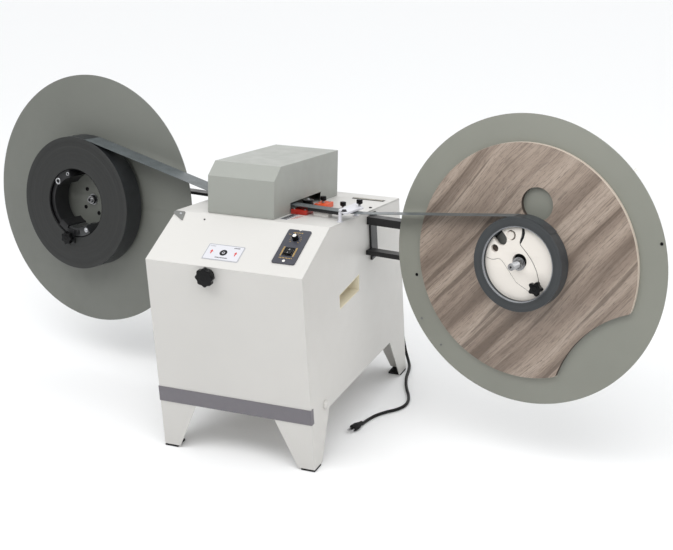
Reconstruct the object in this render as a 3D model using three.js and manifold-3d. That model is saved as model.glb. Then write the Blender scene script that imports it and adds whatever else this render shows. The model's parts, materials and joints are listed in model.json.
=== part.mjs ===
// Edge banding machine: a sheet-metal cabinet on four legs, a slitting head under a hinged
// cover, a pay-off reel on the left and a take-up reel on the right.
// Millimetres, +Z up, +X to the right seen from the front, -Y to the front.

import * as THREE from 'three';
import { mergeVertices } from 'three/addons/utils/BufferGeometryUtils.js';
import Module from 'manifold-3d';

const wasm = await Module();
wasm.setup();

// ---- driving dimensions -------------------------------------------------

const GAP = 0.3; // clearance left between touching pieces
const RUN = 0.4; // radial clearance of a turning fit

// cabinet
const CAB_W = 494;
const CAB_D = 694;
const CAB_H = 680; // height of the bend between slope and deck
const FRONT_H = 601; // height of the bend between front and slope
const SLOPE_RUN = 191; // depth of the slope
const SHEET = 3;
const LEG_H = 151; // height of the leg cut-outs
const FOOT_W = 49; // width of a leg at the floor
const LEG_TOP = 119; // width of a leg at the top of the cut-out
const PAD = 6; // thickness of the rubber feet
const DECK_TILT = THREE.MathUtils.degToRad(10); // the deck falls to the rear
const LINE_YAW = THREE.MathUtils.degToRad(8); // tape line against the cabinet front

// head cover, in the deck's own frame: x, depth behind the slope bend, height over deck
const COVER_X = [-150, 64];
const COVER_Y = [15, 450];
const COVER_FRONT_H = 110;
const COVER_TOP_H = 147;
const COVER_CHAMFER = 43;
const COVER_SHEET = 2;

// tape line, in its own frame: a along the tape, b to the rear, c up from the deck
const LINE_AT = [-45, 150, 0]; // origin of the tape line on the deck
const TAPE_T = 1.2;
const TAPE_B = [-8, 34]; // slit tape on its way to the ring
const ROLL_B = [-36, 36]; // full-width tape on the roll
const TAPE_C = 24; // underside of the tape over the deck
const HEAD_IN = -115;
const HEAD_OUT = 330;

// reels
const DISC_R = 400;
const DISC_T = 3;
const DISC_B = 52; // front face of both reel discs
const LEFT_AXIS = [-700, -64];
const RIGHT_AXIS = [842, -49];
const ROLL_R = 212;
const ROLL_BORE_R = 108;
const RING_R = 130;
const RING_BORE_R = 102;
const BOARD_R = 324;
const BOARD_T = 14;
const SHAFT_R = 12;
const SPINDLE_R = 10; // turned-down front end of each reel shaft

// arms that carry the reels
const ARM_B = [150, 190];
const RIGHT_ARM_TOP_C = [-38, -15];
const LEFT_ARM_TOP_C = [-24, -15];
const ARM_LOW_C = [-130, -116];
const ARM_PLATE_T = 8;

// width setting: spindle through the cabinet front
const STEM_X = -45;
const STEM_Z = 578;
const SPINDLE_END_R = 6;

// slitting knife and the slots it and the drive belt need in the deck, tape line frame
const KNIFE_AT = [8, -8, -4];
const KNIFE_SLOT = [[-24, -50, -12], [40, 34, 12]];
const BELT_SLOT = [[-84, 64, -12], [-26, 92, 12]];

// rollers and belt drive of the head, tape line frame
const ROLLER_A = -58;
const FEED_R = 10;
const PRESS_R = 14;
const JOURNAL_R = 5;
const CHEEK_FRONT = [-48, -40];
const CHEEK_REAR = [50, 58];
const PULLEY_B = [68, 80];
const FEED_PULLEY_R = 15;
const MOTOR_PULLEY_R = 12;
const MOTOR_C = -120;

// rail under the slit tape, tape line frame: along the tape, up from the deck
const RAIL_A = [166, 282];
const RAIL_B = [-4, 32];

// hold-down bridge at the outfeed end, deck frame
const BRIDGE = [[228, 96], [268, 54], [278, 166], [230, 218]];
const BRIDGE_Z = [27.5, 33.5];
const BRIDGE_POSTS = [[240, 84], [241, 192]];

// strip chute in the right side: corners in (y, z), sheet of the tray, depth
const CHUTE = [[-119, 412], [20, 416], [26, 467], [-119, 458]];
const TRAY_SHEET = 2;
const TRAY_DEPTH = 150;

// panels on the slope: centre, width, height
const CONTROL = { x: 168.5, y: 113, w: 71, h: 135 };
const LABEL = { x: -22.5, y: 60, w: 115, h: 62 };

// power cord and its gland in the rear panel
const CORD_R = 5;
const GLAND = [190, 205]; // x, z
const GLAND_R = 10;

// middle of the overall width and depth, measured from the middle of the cabinet
const CENTRE = [32.755, -15];

// ---- materials ----------------------------------------------------------

function material(color, roughness, metalness) {
  return new THREE.MeshStandardMaterial({ color, roughness, metalness });
}

const PAINT = {
  white: () => material(0xdedbd5, 0.45, 0.0),
  grey: () => material(0x9d9e97, 0.45, 0.1),
  stripe: () => material(0x807c84, 0.5, 0.0),
  discGrey: () => material(0x86877e, 0.4, 0.1),
  black: () => material(0x1b1b1c, 0.5, 0.0),
  darkPlate: () => material(0x33343a, 0.5, 0.1),
  red: () => material(0xb3261a, 0.45, 0.0),
  orange: () => material(0xd9481e, 0.45, 0.0),
  steel: () => material(0xb4b6b8, 0.3, 1.0),
  aluminium: () => material(0xb9bbbb, 0.35, 1.0),
  rubber: () => material(0x161616, 0.8, 0.0),
  tape: () => material(0x4b4d4f, 0.55, 0.0),
  wood: () => material(0xa08d80, 0.5, 0.0),
  cream: () => material(0xe2dccf, 0.5, 0.0),
  beige: () => material(0xd8c9a6, 0.6, 0.0),
  label: () => material(0xf0f0ee, 0.5, 0.0),
};

// ---- geometry helpers ---------------------------------------------------

function solid(geometry, matrix = null) {
  let g = geometry.clone();
  g.deleteAttribute('normal');
  g.deleteAttribute('uv');
  if (matrix) g.applyMatrix4(matrix);
  g = mergeVertices(g, 1e-4);
  const vertProperties = new Float32Array(g.attributes.position.array);
  const triVerts = new Uint32Array(g.index.array);
  return new wasm.Manifold(new wasm.Mesh({ numProp: 3, vertProperties, triVerts }));
}

function geometryOf(body) {
  const m = body.getMesh();
  const g = new THREE.BufferGeometry();
  g.setAttribute('position', new THREE.BufferAttribute(new Float32Array(m.vertProperties), 3));
  g.setIndex(new THREE.BufferAttribute(new Uint32Array(m.triVerts), 1));
  g.computeVertexNormals();
  return g;
}

function joined(first, ...rest) {
  return rest.reduce((sum, g) => sum.add(solid(g)), solid(first));
}

function cut(body, ...tools) {
  return tools.reduce((left, g) => left.subtract(solid(g)), body);
}

// box from its lowest and highest corners
function box(lo, hi) {
  const g = new THREE.BoxGeometry(hi[0] - lo[0], hi[1] - lo[1], hi[2] - lo[2]);
  g.translate((lo[0] + hi[0]) / 2, (lo[1] + hi[1]) / 2, (lo[2] + hi[2]) / 2);
  return g;
}

// cylinder along y between two y values, centred on (x, z)
function rod(radius, y0, y1, x = 0, z = 0, sides = 32) {
  const g = new THREE.CylinderGeometry(radius, radius, y1 - y0, sides);
  g.translate(x, (y0 + y1) / 2, z);
  return g;
}

// cylinder along z
function post(radius, z0, z1, x = 0, y = 0, sides = 24) {
  const g = new THREE.CylinderGeometry(radius, radius, z1 - z0, sides);
  g.rotateX(Math.PI / 2);
  g.translate(x, y, (z0 + z1) / 2);
  return g;
}

// body of revolution about y; profile rows are [radius, y]
function turned(profile, sides = 48, x = 0, z = 0) {
  const g = new THREE.LatheGeometry(profile.map(([r, y]) => new THREE.Vector2(r, y)), sides);
  g.translate(x, 0, z);
  return g;
}

// ring of revolution about y
function ring(inner, outer, y0, y1, sides = 48, x = 0, z = 0) {
  return turned([[inner, y0], [outer, y0], [outer, y1], [inner, y1], [inner, y0]], sides, x, z);
}

function shapeOf(points) {
  return new THREE.Shape(points.map(([u, v]) => new THREE.Vector2(u, v)));
}

function extrude(shape, depth, curveSegments = 24) {
  return new THREE.ExtrudeGeometry(shape, { depth, bevelEnabled: false, curveSegments });
}

// outline in (x, z), thickness along y
function plateXZ(shape, y0, y1) {
  const g = extrude(shape, y1 - y0, 10);
  g.rotateX(Math.PI / 2);
  g.translate(0, y1, 0);
  return g;
}

// outline in (y, z), thickness along x
function plateYZ(shape, x0, x1) {
  const g = extrude(shape, x1 - x0);
  const basis = new THREE.Matrix4().makeBasis(
    new THREE.Vector3(0, 1, 0), new THREE.Vector3(0, 0, 1), new THREE.Vector3(1, 0, 0));
  g.applyMatrix4(basis);
  g.translate(x0, 0, 0);
  return g;
}

// rounded lobed outline of a star knob
function starShape(lobes, outer, inner) {
  const mid = (outer + inner) / 2;
  const swing = (outer - inner) / 2;
  const steps = lobes * 6;
  const points = [];
  for (let i = 0; i < steps; i += 1) {
    const t = (i / steps) * 2 * Math.PI;
    const r = mid + swing * Math.cos(lobes * t);
    points.push([r * Math.sin(t), r * Math.cos(t)]);
  }
  return shapeOf(points);
}

// sector of a ring in (x, z), angles in degrees from +x
function arcShape(inner, outer, from, to, steps = 14) {
  const at = (r, i) => {
    const t = THREE.MathUtils.degToRad(from + ((to - from) * i) / steps);
    return [r * Math.cos(t), r * Math.sin(t)];
  };
  const points = [];
  for (let i = 0; i <= steps; i += 1) points.push(at(outer, i));
  for (let i = steps; i >= 0; i -= 1) points.push(at(inner, i));
  return shapeOf(points);
}

// offsets an open outline to its right-hand side, with mitred corners
function offsetLine(points, d) {
  const dirs = points.slice(1).map((p, i) => {
    const v = new THREE.Vector2(p[0] - points[i][0], p[1] - points[i][1]);
    return v.normalize();
  });
  return points.map((p, i) => {
    const before = dirs[Math.max(i - 1, 0)];
    const after = dirs[Math.min(i, dirs.length - 1)];
    const n0 = new THREE.Vector2(before.y, -before.x);
    const n1 = new THREE.Vector2(after.y, -after.x);
    const m = n0.clone().add(n1).normalize();
    const k = d / m.dot(n1);
    return [p[0] + m.x * k, p[1] + m.y * k];
  });
}

// ---- scene graph --------------------------------------------------------

const model = new THREE.Group();
model.position.set(-CENTRE[0], -CENTRE[1], 0);
const deck = new THREE.Group();
const Y_FRONT = -CAB_D / 2;
const Y_REAR = CAB_D / 2;
const Y_BEND = Y_FRONT + SLOPE_RUN;
deck.position.set(0, Y_BEND, CAB_H);
deck.rotation.x = -DECK_TILT;
const line = new THREE.Group();
line.position.set(...LINE_AT);
line.rotation.z = -LINE_YAW;
deck.add(line);
model.add(deck);

function place(group, name, shape, paint, x = 0, y = 0, z = 0) {
  const geometry = shape.isBufferGeometry ? geometryOf(solid(shape)) : geometryOf(shape);
  const mesh = new THREE.Mesh(geometry, paint());
  mesh.name = name;
  mesh.position.set(x, y, z);
  group.add(mesh);
  return mesh;
}

// matrix that takes cabinet coordinates into the tape line's frame
function cabinetToLine() {
  deck.updateMatrix();
  line.updateMatrix();
  return deck.matrix.clone().multiply(line.matrix).invert();
}

// ---- cabinet ------------------------------------------------------------

const deckRearZ = CAB_H - (CAB_D - SLOPE_RUN) * Math.tan(DECK_TILT);
const OUTER = [[Y_FRONT, PAD], [Y_FRONT, FRONT_H], [Y_BEND, CAB_H], [Y_REAR, deckRearZ]];
const INNER = offsetLine(OUTER, SHEET);

// trapezium removed between two legs, in (along, z)
function legCut(lo, hi) {
  return shapeOf([
    [lo + FOOT_W, 0], [hi - FOOT_W, 0], [hi - LEG_TOP, LEG_H], [lo + LEG_TOP, LEG_H]]);
}

function wrapPanel() {
  const outline = shapeOf([...OUTER, ...INNER.slice().reverse()]);
  let body = solid(plateYZ(outline, -CAB_W / 2, CAB_W / 2));
  body = cut(body, plateXZ(legCut(-CAB_W / 2, CAB_W / 2), Y_FRONT - 5, Y_FRONT + 8));
  body = cut(body, rod(13, Y_FRONT - 5, Y_FRONT + 8, STEM_X, STEM_Z));
  const toCabinet = cabinetToLine().invert();
  for (const [lo, hi] of [KNIFE_SLOT, BELT_SLOT]) {
    body = body.subtract(solid(box(lo, hi), toCabinet));
  }
  return body;
}

function sidePanel(x0) {
  const inset = offsetLine(INNER, GAP);
  const rear = Y_REAR - SHEET - GAP;
  const outline = [[inset[0][0], PAD], inset[1], inset[2],
    [rear, deckRearZ - SHEET - 3 * GAP], [rear, PAD]];
  let body = solid(plateYZ(shapeOf(outline), x0, x0 + SHEET));
  body = cut(body, plateYZ(legCut(Y_FRONT, Y_REAR), x0 - 5, x0 + SHEET + 5));
  return body;
}

function rearPanel() {
  const half = CAB_W / 2;
  const top = deckRearZ - SHEET - 2 * GAP;
  const outline = shapeOf([[-half, PAD], [half, PAD], [half, top], [-half, top]]);
  let body = solid(plateXZ(outline, Y_REAR - SHEET, Y_REAR));
  body = cut(body, plateXZ(legCut(-half, half), Y_REAR - 8, Y_REAR + 5));
  for (let row = 0; row < 5; row += 1) {
    const z = 420 + row * 22;
    body = cut(body, box([-70, Y_REAR - 8, z], [70, Y_REAR + 5, z + 8]));
  }
  return cut(body, rod(GLAND_R + GAP, Y_REAR - 8, Y_REAR + 5, GLAND[0], GLAND[1]));
}

// outline of the chute opening drawn in by a margin
function chuteShape(margin) {
  const cy = CHUTE.reduce((sum, p) => sum + p[0], 0) / CHUTE.length;
  const cz = CHUTE.reduce((sum, p) => sum + p[1], 0) / CHUTE.length;
  return shapeOf(CHUTE.map(([y, z]) => [
    y + Math.sign(cy - y) * margin, z + Math.sign(cz - z) * margin]));
}

function cabinet() {
  const half = CAB_W / 2;
  place(model, 'wrap_panel', wrapPanel(), PAINT.white);
  place(model, 'left_side_panel', sidePanel(-half), PAINT.white);
  const right = cut(sidePanel(half - SHEET), plateYZ(shapeOf(CHUTE), half - 8, half + 5));
  place(model, 'right_side_panel', right, PAINT.white);
  place(model, 'rear_panel', rearPanel(), PAINT.white);

  // floor pan with a flange turned down all round
  const px = half - SHEET - 2;
  const py = Y_REAR - SHEET - 2;
  const pan = cut(solid(box([-px, -py, LEG_H + 6], [px, py, LEG_H + 28])),
    box([-px + 2, -py + 2, LEG_H], [px - 2, py - 2, LEG_H + 26]));
  place(model, 'floor_pan', pan, PAINT.white);

  // rubber feet under the legs
  const corner = FOOT_W - 6;
  for (const [name, sx, sy] of [['front_left', -1, -1], ['front_right', 1, -1],
    ['rear_left', -1, 1], ['rear_right', 1, 1]]) {
    const x = [sx * half, sx * (half - corner)].sort((p, q) => p - q);
    const y = [sy * Y_REAR, sy * (Y_REAR - corner)].sort((p, q) => p - q);
    place(model, `foot_${name}`, box([x[0], y[0], 0], [x[1], y[1], PAD - GAP]), PAINT.rubber);
  }

  // grey band along the front, turned round both corners
  const band = joined(
    box([-half - 1.6, Y_FRONT - 1.6, LEG_H], [half + 1.6, Y_FRONT - GAP, LEG_H + 47]),
    box([-half - 1.6, Y_FRONT - 1.6, LEG_H], [-half - GAP, Y_FRONT + 14, LEG_H + 47]),
    box([half + GAP, Y_FRONT - 1.6, LEG_H], [half + 1.6, Y_FRONT + 14, LEG_H + 47]));
  place(model, 'front_stripe', band, PAINT.stripe);

  // small white cap low on the right side
  const cap = new THREE.CylinderGeometry(12, 14, 9, 28);
  cap.rotateZ(-Math.PI / 2);
  place(model, 'side_cap', cap, PAINT.white, half + GAP + 4.5, -254, 172);

  // tray that leads the trimmed strips out through the right side
  const sleeve = solid(plateYZ(chuteShape(0.6), half - TRAY_DEPTH, half - 0.5));
  const tray = cut(sleeve, plateYZ(chuteShape(0.6 + TRAY_SHEET), half - TRAY_DEPTH - 10, half + 5));
  place(model, 'chute_tray', tray, PAINT.beige);
}

// ---- operating panel ----------------------------------------------------

const SLOPE_ANGLE = Math.atan2(CAB_H - FRONT_H, SLOPE_RUN);
const slope = new THREE.Group();
slope.position.set(0, Y_FRONT, FRONT_H);
slope.rotation.x = SLOPE_ANGLE;
model.add(slope);

function roundedRect(w, h, r) {
  const s = new THREE.Shape();
  const x = w / 2;
  const y = h / 2;
  s.moveTo(-x + r, -y);
  s.lineTo(x - r, -y);
  s.absarc(x - r, -y + r, r, -Math.PI / 2, 0);
  s.lineTo(x, y - r);
  s.absarc(x - r, y - r, r, 0, Math.PI / 2);
  s.lineTo(-x + r, y);
  s.absarc(-x + r, y - r, r, Math.PI / 2, Math.PI);
  s.lineTo(-x, -y + r);
  s.absarc(-x + r, -y + r, r, Math.PI, 1.5 * Math.PI);
  return s;
}

function operatingPanel() {
  const label = extrude(roundedRect(LABEL.w, LABEL.h, 3), 1, 4);
  place(slope, 'label_plate', label, PAINT.label, LABEL.x, LABEL.y, GAP);

  let plate = solid(extrude(roundedRect(CONTROL.w, CONTROL.h, 6), 3.5, 5));
  plate = cut(plate,
    post(3.5, -1, 6, 0, CONTROL.h / 2, 12),
    box([-13, -35, -1], [13, -7, 6]),
    post(4, 1, 6, 0, 30, 20));
  place(slope, 'control_plate', plate, PAINT.darkPlate, CONTROL.x, CONTROL.y, GAP);

  const knob = joined(post(9, 4.2, 18, 0, 0, 28), post(3.4, 1.6, 5, 0, 0, 16),
    box([-1, 0, 17.5], [1, 8.6, 19]));
  place(slope, 'speed_knob', knob, PAINT.black, CONTROL.x, CONTROL.y + 30, GAP);

  const rocker = shapeOf([[-12.4, 2], [12.4, 2], [12.4, 4.5], [0, 6.2], [-12.4, 8.2]]);
  const paddle = plateYZ(rocker, -11.5, 11.5);
  place(slope, 'rocker_switch', paddle, PAINT.black, CONTROL.x, CONTROL.y - 21, GAP + 0.6);
}

// ---- width setting: front knob, spindle, knife carriage ------------------

function widthSetting() {
  const knob = joined(plateXZ(starShape(8, 28, 24), Y_FRONT - 30, Y_FRONT - 12),
    rod(13, Y_FRONT - 14, Y_FRONT - 6, 0, 0, 28));
  place(model, 'front_star_knob', knob, PAINT.black, STEM_X, 0, STEM_Z);

  const spindle = turned([[0, Y_FRONT - 5.7], [12.4, Y_FRONT - 5.7], [12.4, Y_FRONT - 1],
    [SPINDLE_END_R, Y_FRONT - 1], [SPINDLE_END_R, 40], [0, 40]], 28);
  place(model, 'width_spindle', spindle, PAINT.steel, STEM_X, 0, STEM_Z);

  // carriage: nut block on the spindle and a post that carries the knife
  const toCabinet = cabinetToLine().invert();
  const [knifeA, knifeB, knifeC] = KNIFE_AT;
  let carriage = solid(box([STEM_X - 22, -63, STEM_Z - 18], [STEM_X + 22, -14, STEM_Z + 18]));
  const stem = solid(box([knifeA - 12, knifeB - 25, -84], [knifeA + 12, knifeB - 5, 8]),
    toCabinet);
  carriage = carriage.add(stem);
  const bore = rod(5 + RUN, knifeB - 40, knifeB + 4, knifeA, knifeC, 24);
  carriage = carriage.subtract(solid(bore, toCabinet));
  carriage = cut(carriage, rod(SPINDLE_END_R + RUN, -80, 60, STEM_X, STEM_Z));
  place(model, 'knife_carriage', carriage, PAINT.aluminium);

  const profile = [[0, -26], [5, -26], [5, -4.5], [9, -4.5], [9, -1], [26, -0.4], [26, 0.4],
    [9, 1], [9, 5], [0, 5]];
  const knife = turned(profile.map(([r, b]) => [r, b + knifeB]), 28, knifeA, knifeC);
  place(line, 'slitting_knife', knife, PAINT.steel);
}

// ---- head: cheeks, rollers, drive ----------------------------------------

const FEED_C = TAPE_C - FEED_R - GAP;
const PRESS_C = TAPE_C + TAPE_T + PRESS_R + GAP;

function head() {
  const outline = shapeOf([[-88, GAP], [-28, GAP], [-28, 62], [-44, 74], [-72, 74], [-88, 62]]);
  for (const [name, b] of [['front', CHEEK_FRONT], ['rear', CHEEK_REAR]]) {
    const cheek = cut(solid(plateXZ(outline, b[0], b[1])),
      rod(JOURNAL_R + RUN, b[0] - 2, b[1] + 2, ROLLER_A, FEED_C, 24),
      rod(JOURNAL_R + RUN, b[0] - 2, b[1] + 2, ROLLER_A, PRESS_C, 24));
    place(line, `head_cheek_${name}`, cheek, PAINT.aluminium);
  }
  const b0 = CHEEK_FRONT[1] + 1;
  const b1 = CHEEK_REAR[0] - 1;
  const end = CHEEK_FRONT[0] - 4;
  const feed = turned([[0, end], [JOURNAL_R, end], [JOURNAL_R, b0], [FEED_R, b0],
    [FEED_R, b1], [JOURNAL_R, b1], [JOURNAL_R, PULLEY_B[1] + 3], [0, PULLEY_B[1] + 3]], 24);
  place(line, 'feed_roller', feed, PAINT.rubber, ROLLER_A, 0, FEED_C);
  const press = turned([[0, end], [JOURNAL_R, end], [JOURNAL_R, b0], [PRESS_R, b0],
    [PRESS_R, b1], [JOURNAL_R, b1], [JOURNAL_R, 62], [0, 62]], 24);
  place(line, 'pressure_roller', press, PAINT.rubber, ROLLER_A, 0, PRESS_C);

  const [p0, p1] = PULLEY_B;
  const pulley = (r, bore) => turned([[bore, p0], [r + 3, p0], [r + 3, p0 + 2], [r, p0 + 2],
    [r, p1 - 2], [r + 3, p1 - 2], [r + 3, p1], [bore, p1], [bore, p0]], 20);
  place(line, 'feed_pulley', pulley(FEED_PULLEY_R, JOURNAL_R + GAP), PAINT.aluminium,
    ROLLER_A, 0, FEED_C);
  place(line, 'motor_pulley', pulley(MOTOR_PULLEY_R, 4 + GAP), PAINT.aluminium,
    ROLLER_A, 0, MOTOR_C);

  const beltLoop = (grow) => {
    const s = new THREE.Shape();
    const top = FEED_PULLEY_R + grow;
    const low = MOTOR_PULLEY_R + grow;
    s.absarc(ROLLER_A, FEED_C, top, 0, Math.PI);
    s.absarc(ROLLER_A, MOTOR_C, low, Math.PI, 2 * Math.PI);
    return s;
  };
  const belt = solid(plateXZ(beltLoop(0.6 + 1.6), p0 + 2.6, p1 - 2.6))
    .subtract(solid(plateXZ(beltLoop(0.6), p0, p1)));
  place(line, 'drive_belt', belt, PAINT.rubber);

  // motor hung under the deck, its shaft to the rear
  const bracket = joined(box([-98, 40, -170], [-18, 46, -3.6]),
    box([-98, 30, -7.6], [-18, 46, -3.6]));
  place(line, 'motor_bracket', cut(bracket, rod(16, 30, 60, ROLLER_A, MOTOR_C, 28)),
    PAINT.steel);
  const motor = turned([[0, -80], [34, -80], [38, -74], [38, 39.7], [14, 39.7], [14, 50],
    [4, 50], [4, p1 + 2], [0, p1 + 2]], 24);
  place(line, 'drive_motor', motor, PAINT.darkPlate, ROLLER_A, 0, MOTOR_C);
}

// ---- outfeed side of the deck --------------------------------------------

function knobOnDeck(name, group, x, y, z) {
  const knob = joined(post(9, 8, 20, 0, 0, 20), post(4, 0, 9, 0, 0, 16));
  place(group, name, knob, PAINT.black, x, y, z);
}

function outfeed() {
  // red base with the black edge roller of the tape standing on it
  const base = joined(box([67, 118, GAP], [118, 166, 14]), box([67, 160, GAP], [100, 206, 14]),
    post(8, 10, 20, 84, 194, 20), post(17, 16, 31, 84, 199, 28));
  place(deck, 'outfeed_base', base, PAINT.red);
  place(deck, 'guide_block', box([92, 222, GAP], [128, 284, 15]), PAINT.orange);
  knobOnDeck('guide_knob', deck, 110, 250, 15 + GAP);
  knobOnDeck('deck_knob', deck, 164, 273, GAP);

  // rail under the tape, on a foot that stands on the deck
  const rail = joined(box([RAIL_A[0], RAIL_B[0], 14], [RAIL_A[1], RAIL_B[1], TAPE_C - GAP]),
    box([RAIL_A[0] + 16, RAIL_B[0] + 8, GAP], [RAIL_A[0] + 66, RAIL_B[1] - 6, 15]));
  place(line, 'outfeed_rail', rail, PAINT.black);

  // hold-down bridge over the tape at the end of the deck
  const top = new THREE.ExtrudeGeometry(shapeOf(BRIDGE), {
    depth: BRIDGE_Z[1] - BRIDGE_Z[0], bevelEnabled: false });
  top.translate(0, 0, BRIDGE_Z[0]);
  const posts = BRIDGE_POSTS.map(([x, y]) => post(5, GAP, BRIDGE_Z[0] + 2, x, y));
  place(deck, 'hold_down_bridge', joined(top, ...posts), PAINT.aluminium);
  knobOnDeck('bridge_knob', deck, 262, 170, BRIDGE_Z[1] + GAP);
}

// ---- head cover -----------------------------------------------------------

function coverProfile(grow, floor) {
  const [y0, y1] = COVER_Y;
  return shapeOf([[y0 + grow, floor], [y0 + grow, COVER_FRONT_H - 0.5 * grow],
    [y0 + COVER_CHAMFER + 0.4 * grow, COVER_TOP_H - grow], [y1 - grow, COVER_TOP_H - 5 - grow],
    [y1 - grow, floor]].reverse());
}

function cover() {
  const [x0, x1] = COVER_X;
  let shell = solid(plateYZ(coverProfile(0, 1), x0, x1));
  shell = cut(shell, plateYZ(coverProfile(COVER_SHEET, -5), x0 + COVER_SHEET, x1 - COVER_SHEET));
  shell = cut(shell, box([x1 - 10, 122, -5], [x1 + 5, 330, 31]),
    box([x0 - 5, 122, -5], [x0 + 10, 220, 46]));
  place(deck, 'head_cover', shell, PAINT.grey);

  // hinge barrel and fixed leaf behind the cover
  const barrel = new THREE.CylinderGeometry(3.5, 3.5, x1 - x0 - 40, 20);
  barrel.rotateZ(Math.PI / 2);
  barrel.translate((x0 + x1) / 2, COVER_Y[1] + 4.2, 4);
  const leaf = box([x0 + 20, COVER_Y[1] + 4, GAP], [x1 - 20, COVER_Y[1] + 26, 2.3]);
  place(deck, 'cover_hinge', joined(barrel, leaf), PAINT.steel);
}

// ---- reels ----------------------------------------------------------------

function disc(name, [a, c]) {
  const plate = ring(SPINDLE_R + RUN, DISC_R, DISC_B, DISC_B + DISC_T, 96);
  place(line, name, plate, PAINT.discGrey, a, 0, c);
}

function shaft(name, [a, c], front) {
  const back = ARM_B[1] + 10;
  const body = turned([[0, front], [SPINDLE_R, front], [SPINDLE_R, DISC_B + DISC_T + GAP],
    [20, DISC_B + DISC_T + GAP], [20, DISC_B + DISC_T + 14], [SHAFT_R, DISC_B + DISC_T + 14],
    [SHAFT_R, back], [0, back]], 24);
  place(line, name, body, PAINT.steel, a, 0, c);
}

function hexNut(across, b0, b1, boreR) {
  const nut = new THREE.CylinderGeometry(across, across, b1 - b0, 6);
  nut.translate(0, (b0 + b1) / 2, 0);
  return cut(solid(nut), rod(boreR, b0 - 2, b1 + 2, 0, 0, 24));
}

function housing(name, [a, c]) {
  const b1 = ARM_B[0] - ARM_PLATE_T - GAP;
  const body = ring(SHAFT_R + RUN, 30, b1 - 46, b1, 28);
  const flange = box([-38, b1 - 10, -34], [38, b1, 34]);
  const whole = cut(solid(body).add(solid(flange)), rod(SHAFT_R + RUN, b1 - 60, b1 + 5, 0, 0, 28));
  place(line, name, whole, PAINT.grey, a, 0, c);
}

// welded arm: plate on the cabinet side, two bars, plate that carries the bearing
function arm(name, [a, c], side, top) {
  const half = CAB_W / 2;
  const toLine = cabinetToLine();
  const reach = a - side * 34;
  const span = [side * 180, reach].sort((p, q) => p - q);
  const [b0, b1] = ARM_B;
  let frame = solid(box([span[0], b0, top[0]], [span[1], b1, top[1]]));
  frame = frame.add(solid(box([span[0], b0, ARM_LOW_C[0]], [span[1], b1, ARM_LOW_C[1]])));
  const keepOut = half + GAP;
  const hollow = [[-keepOut, -600, 0], [keepOut, 600, 900]];
  frame = frame.subtract(solid(box(...hollow), toLine));
  const wall = side > 0 ? [half + GAP, half + GAP + 6] : [-half - GAP - 6, -half - GAP];
  const plate = solid(box([wall[0], 110, 478], [wall[1], 154, 618]), toLine);
  frame = frame.add(plate);
  frame = frame.add(solid(box([a - 46, b0 - ARM_PLATE_T, ARM_LOW_C[0] - 6],
    [a + 46, b0 + 0.01, top[1] + 6])));
  frame = cut(frame, rod(SHAFT_R + 2, b0 - 20, b1 + 20, a, c, 32));
  place(line, name, frame, PAINT.black);
}

function rightReel() {
  const at = RIGHT_AXIS;
  disc('right_disc', at);
  shaft('right_shaft', at, -46);
  housing('right_bearing_housing', at);
  arm('right_arm_frame', at, 1, RIGHT_ARM_TOP_C);

  const b1 = DISC_B - GAP;
  const board = cut(solid(rod(BOARD_R, b1 - BOARD_T, b1, 0, 0, 96)),
    rod(320, b1 - 40, b1 + 5, 414, -400, 96),
    rod(45, b1 - 40, b1 + 5, 29, 161, 28),
    rod(24, b1 - 40, b1 + 5, 0, 0, 20));
  place(line, 'wood_board', board, PAINT.wood, at[0], 0, at[1]);

  const front = b1 - BOARD_T - GAP;
  place(line, 'takeup_ring', ring(RING_BORE_R, RING_R, TAPE_B[0], TAPE_B[1] + 2, 72),
    PAINT.tape, at[0], 0, at[1]);
  const hub = turned([[SPINDLE_R + RUN, 6], [RING_BORE_R - 0.5, 6], [RING_BORE_R - 0.5, 18],
    [60, 18], [60, front], [SPINDLE_R + RUN, front], [SPINDLE_R + RUN, 6]], 48);
  place(line, 'hub_plate', hub, PAINT.cream, at[0], 0, at[1]);
  place(line, 'hub_nut', hexNut(18, -7, 6 - GAP, SPINDLE_R + RUN), PAINT.steel, at[0], 0, at[1]);
  const knobFront = TAPE_B[0] - 1;
  const knob = joined(plateXZ(starShape(5, 19, 13), knobFront - 15, knobFront),
    rod(8, knobFront - 1, 6 - GAP, 0, 0, 20));
  place(line, 'right_star_knob', knob, PAINT.black, at[0] + 62, 0, at[1] - 55);
}

function leftReel() {
  const at = LEFT_AXIS;
  disc('left_disc', at);
  shaft('left_shaft', at, 30);
  housing('left_bearing_housing', at);
  arm('left_arm_frame', at, -1, LEFT_ARM_TOP_C);
  place(line, 'left_nut', hexNut(17, 40, DISC_B - GAP, SPINDLE_R + RUN), PAINT.steel,
    at[0], 0, at[1]);
  place(line, 'tape_roll', ring(ROLL_BORE_R, ROLL_R, ROLL_B[0], ROLL_B[1], 80),
    PAINT.tape, at[0], 0, at[1]);

  // clamp arm against the inside of the tape core
  const face = ROLL_B[0];
  const back = DISC_B - GAP;
  const core = ROLL_BORE_R - 0.6;
  const armBody = joined(plateXZ(arcShape(88, core, 112, 246, 20), face + 2, 36),
    plateXZ(arcShape(72, 102, 112, 136, 6), 20, back),
    plateXZ(arcShape(72, 102, 222, 246, 6), 20, back));
  place(line, 'left_clamp_arm', armBody, PAINT.black, at[0], 0, at[1]);

  // jaw block with a lip in front of the roll; the star knob tightens it
  const jaw = joined(plateXZ(arcShape(80, core, 252, 304, 10), face - 6, 36),
    plateXZ(arcShape(90, 132, 250, 268, 6), face - 6, face - GAP),
    plateXZ(arcShape(74, 100, 268, 300, 6), 30, back));
  place(line, 'left_jaw_block', jaw, PAINT.darkPlate, at[0], 0, at[1]);
  const knob = joined(plateXZ(starShape(7, 20, 16), face - 24, face - 9),
    rod(8, face - 10, face - 6 - GAP, 0, 0, 20));
  place(line, 'left_star_knob', knob, PAINT.black, at[0] - 22, 0, at[1] - 113);
}

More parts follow.
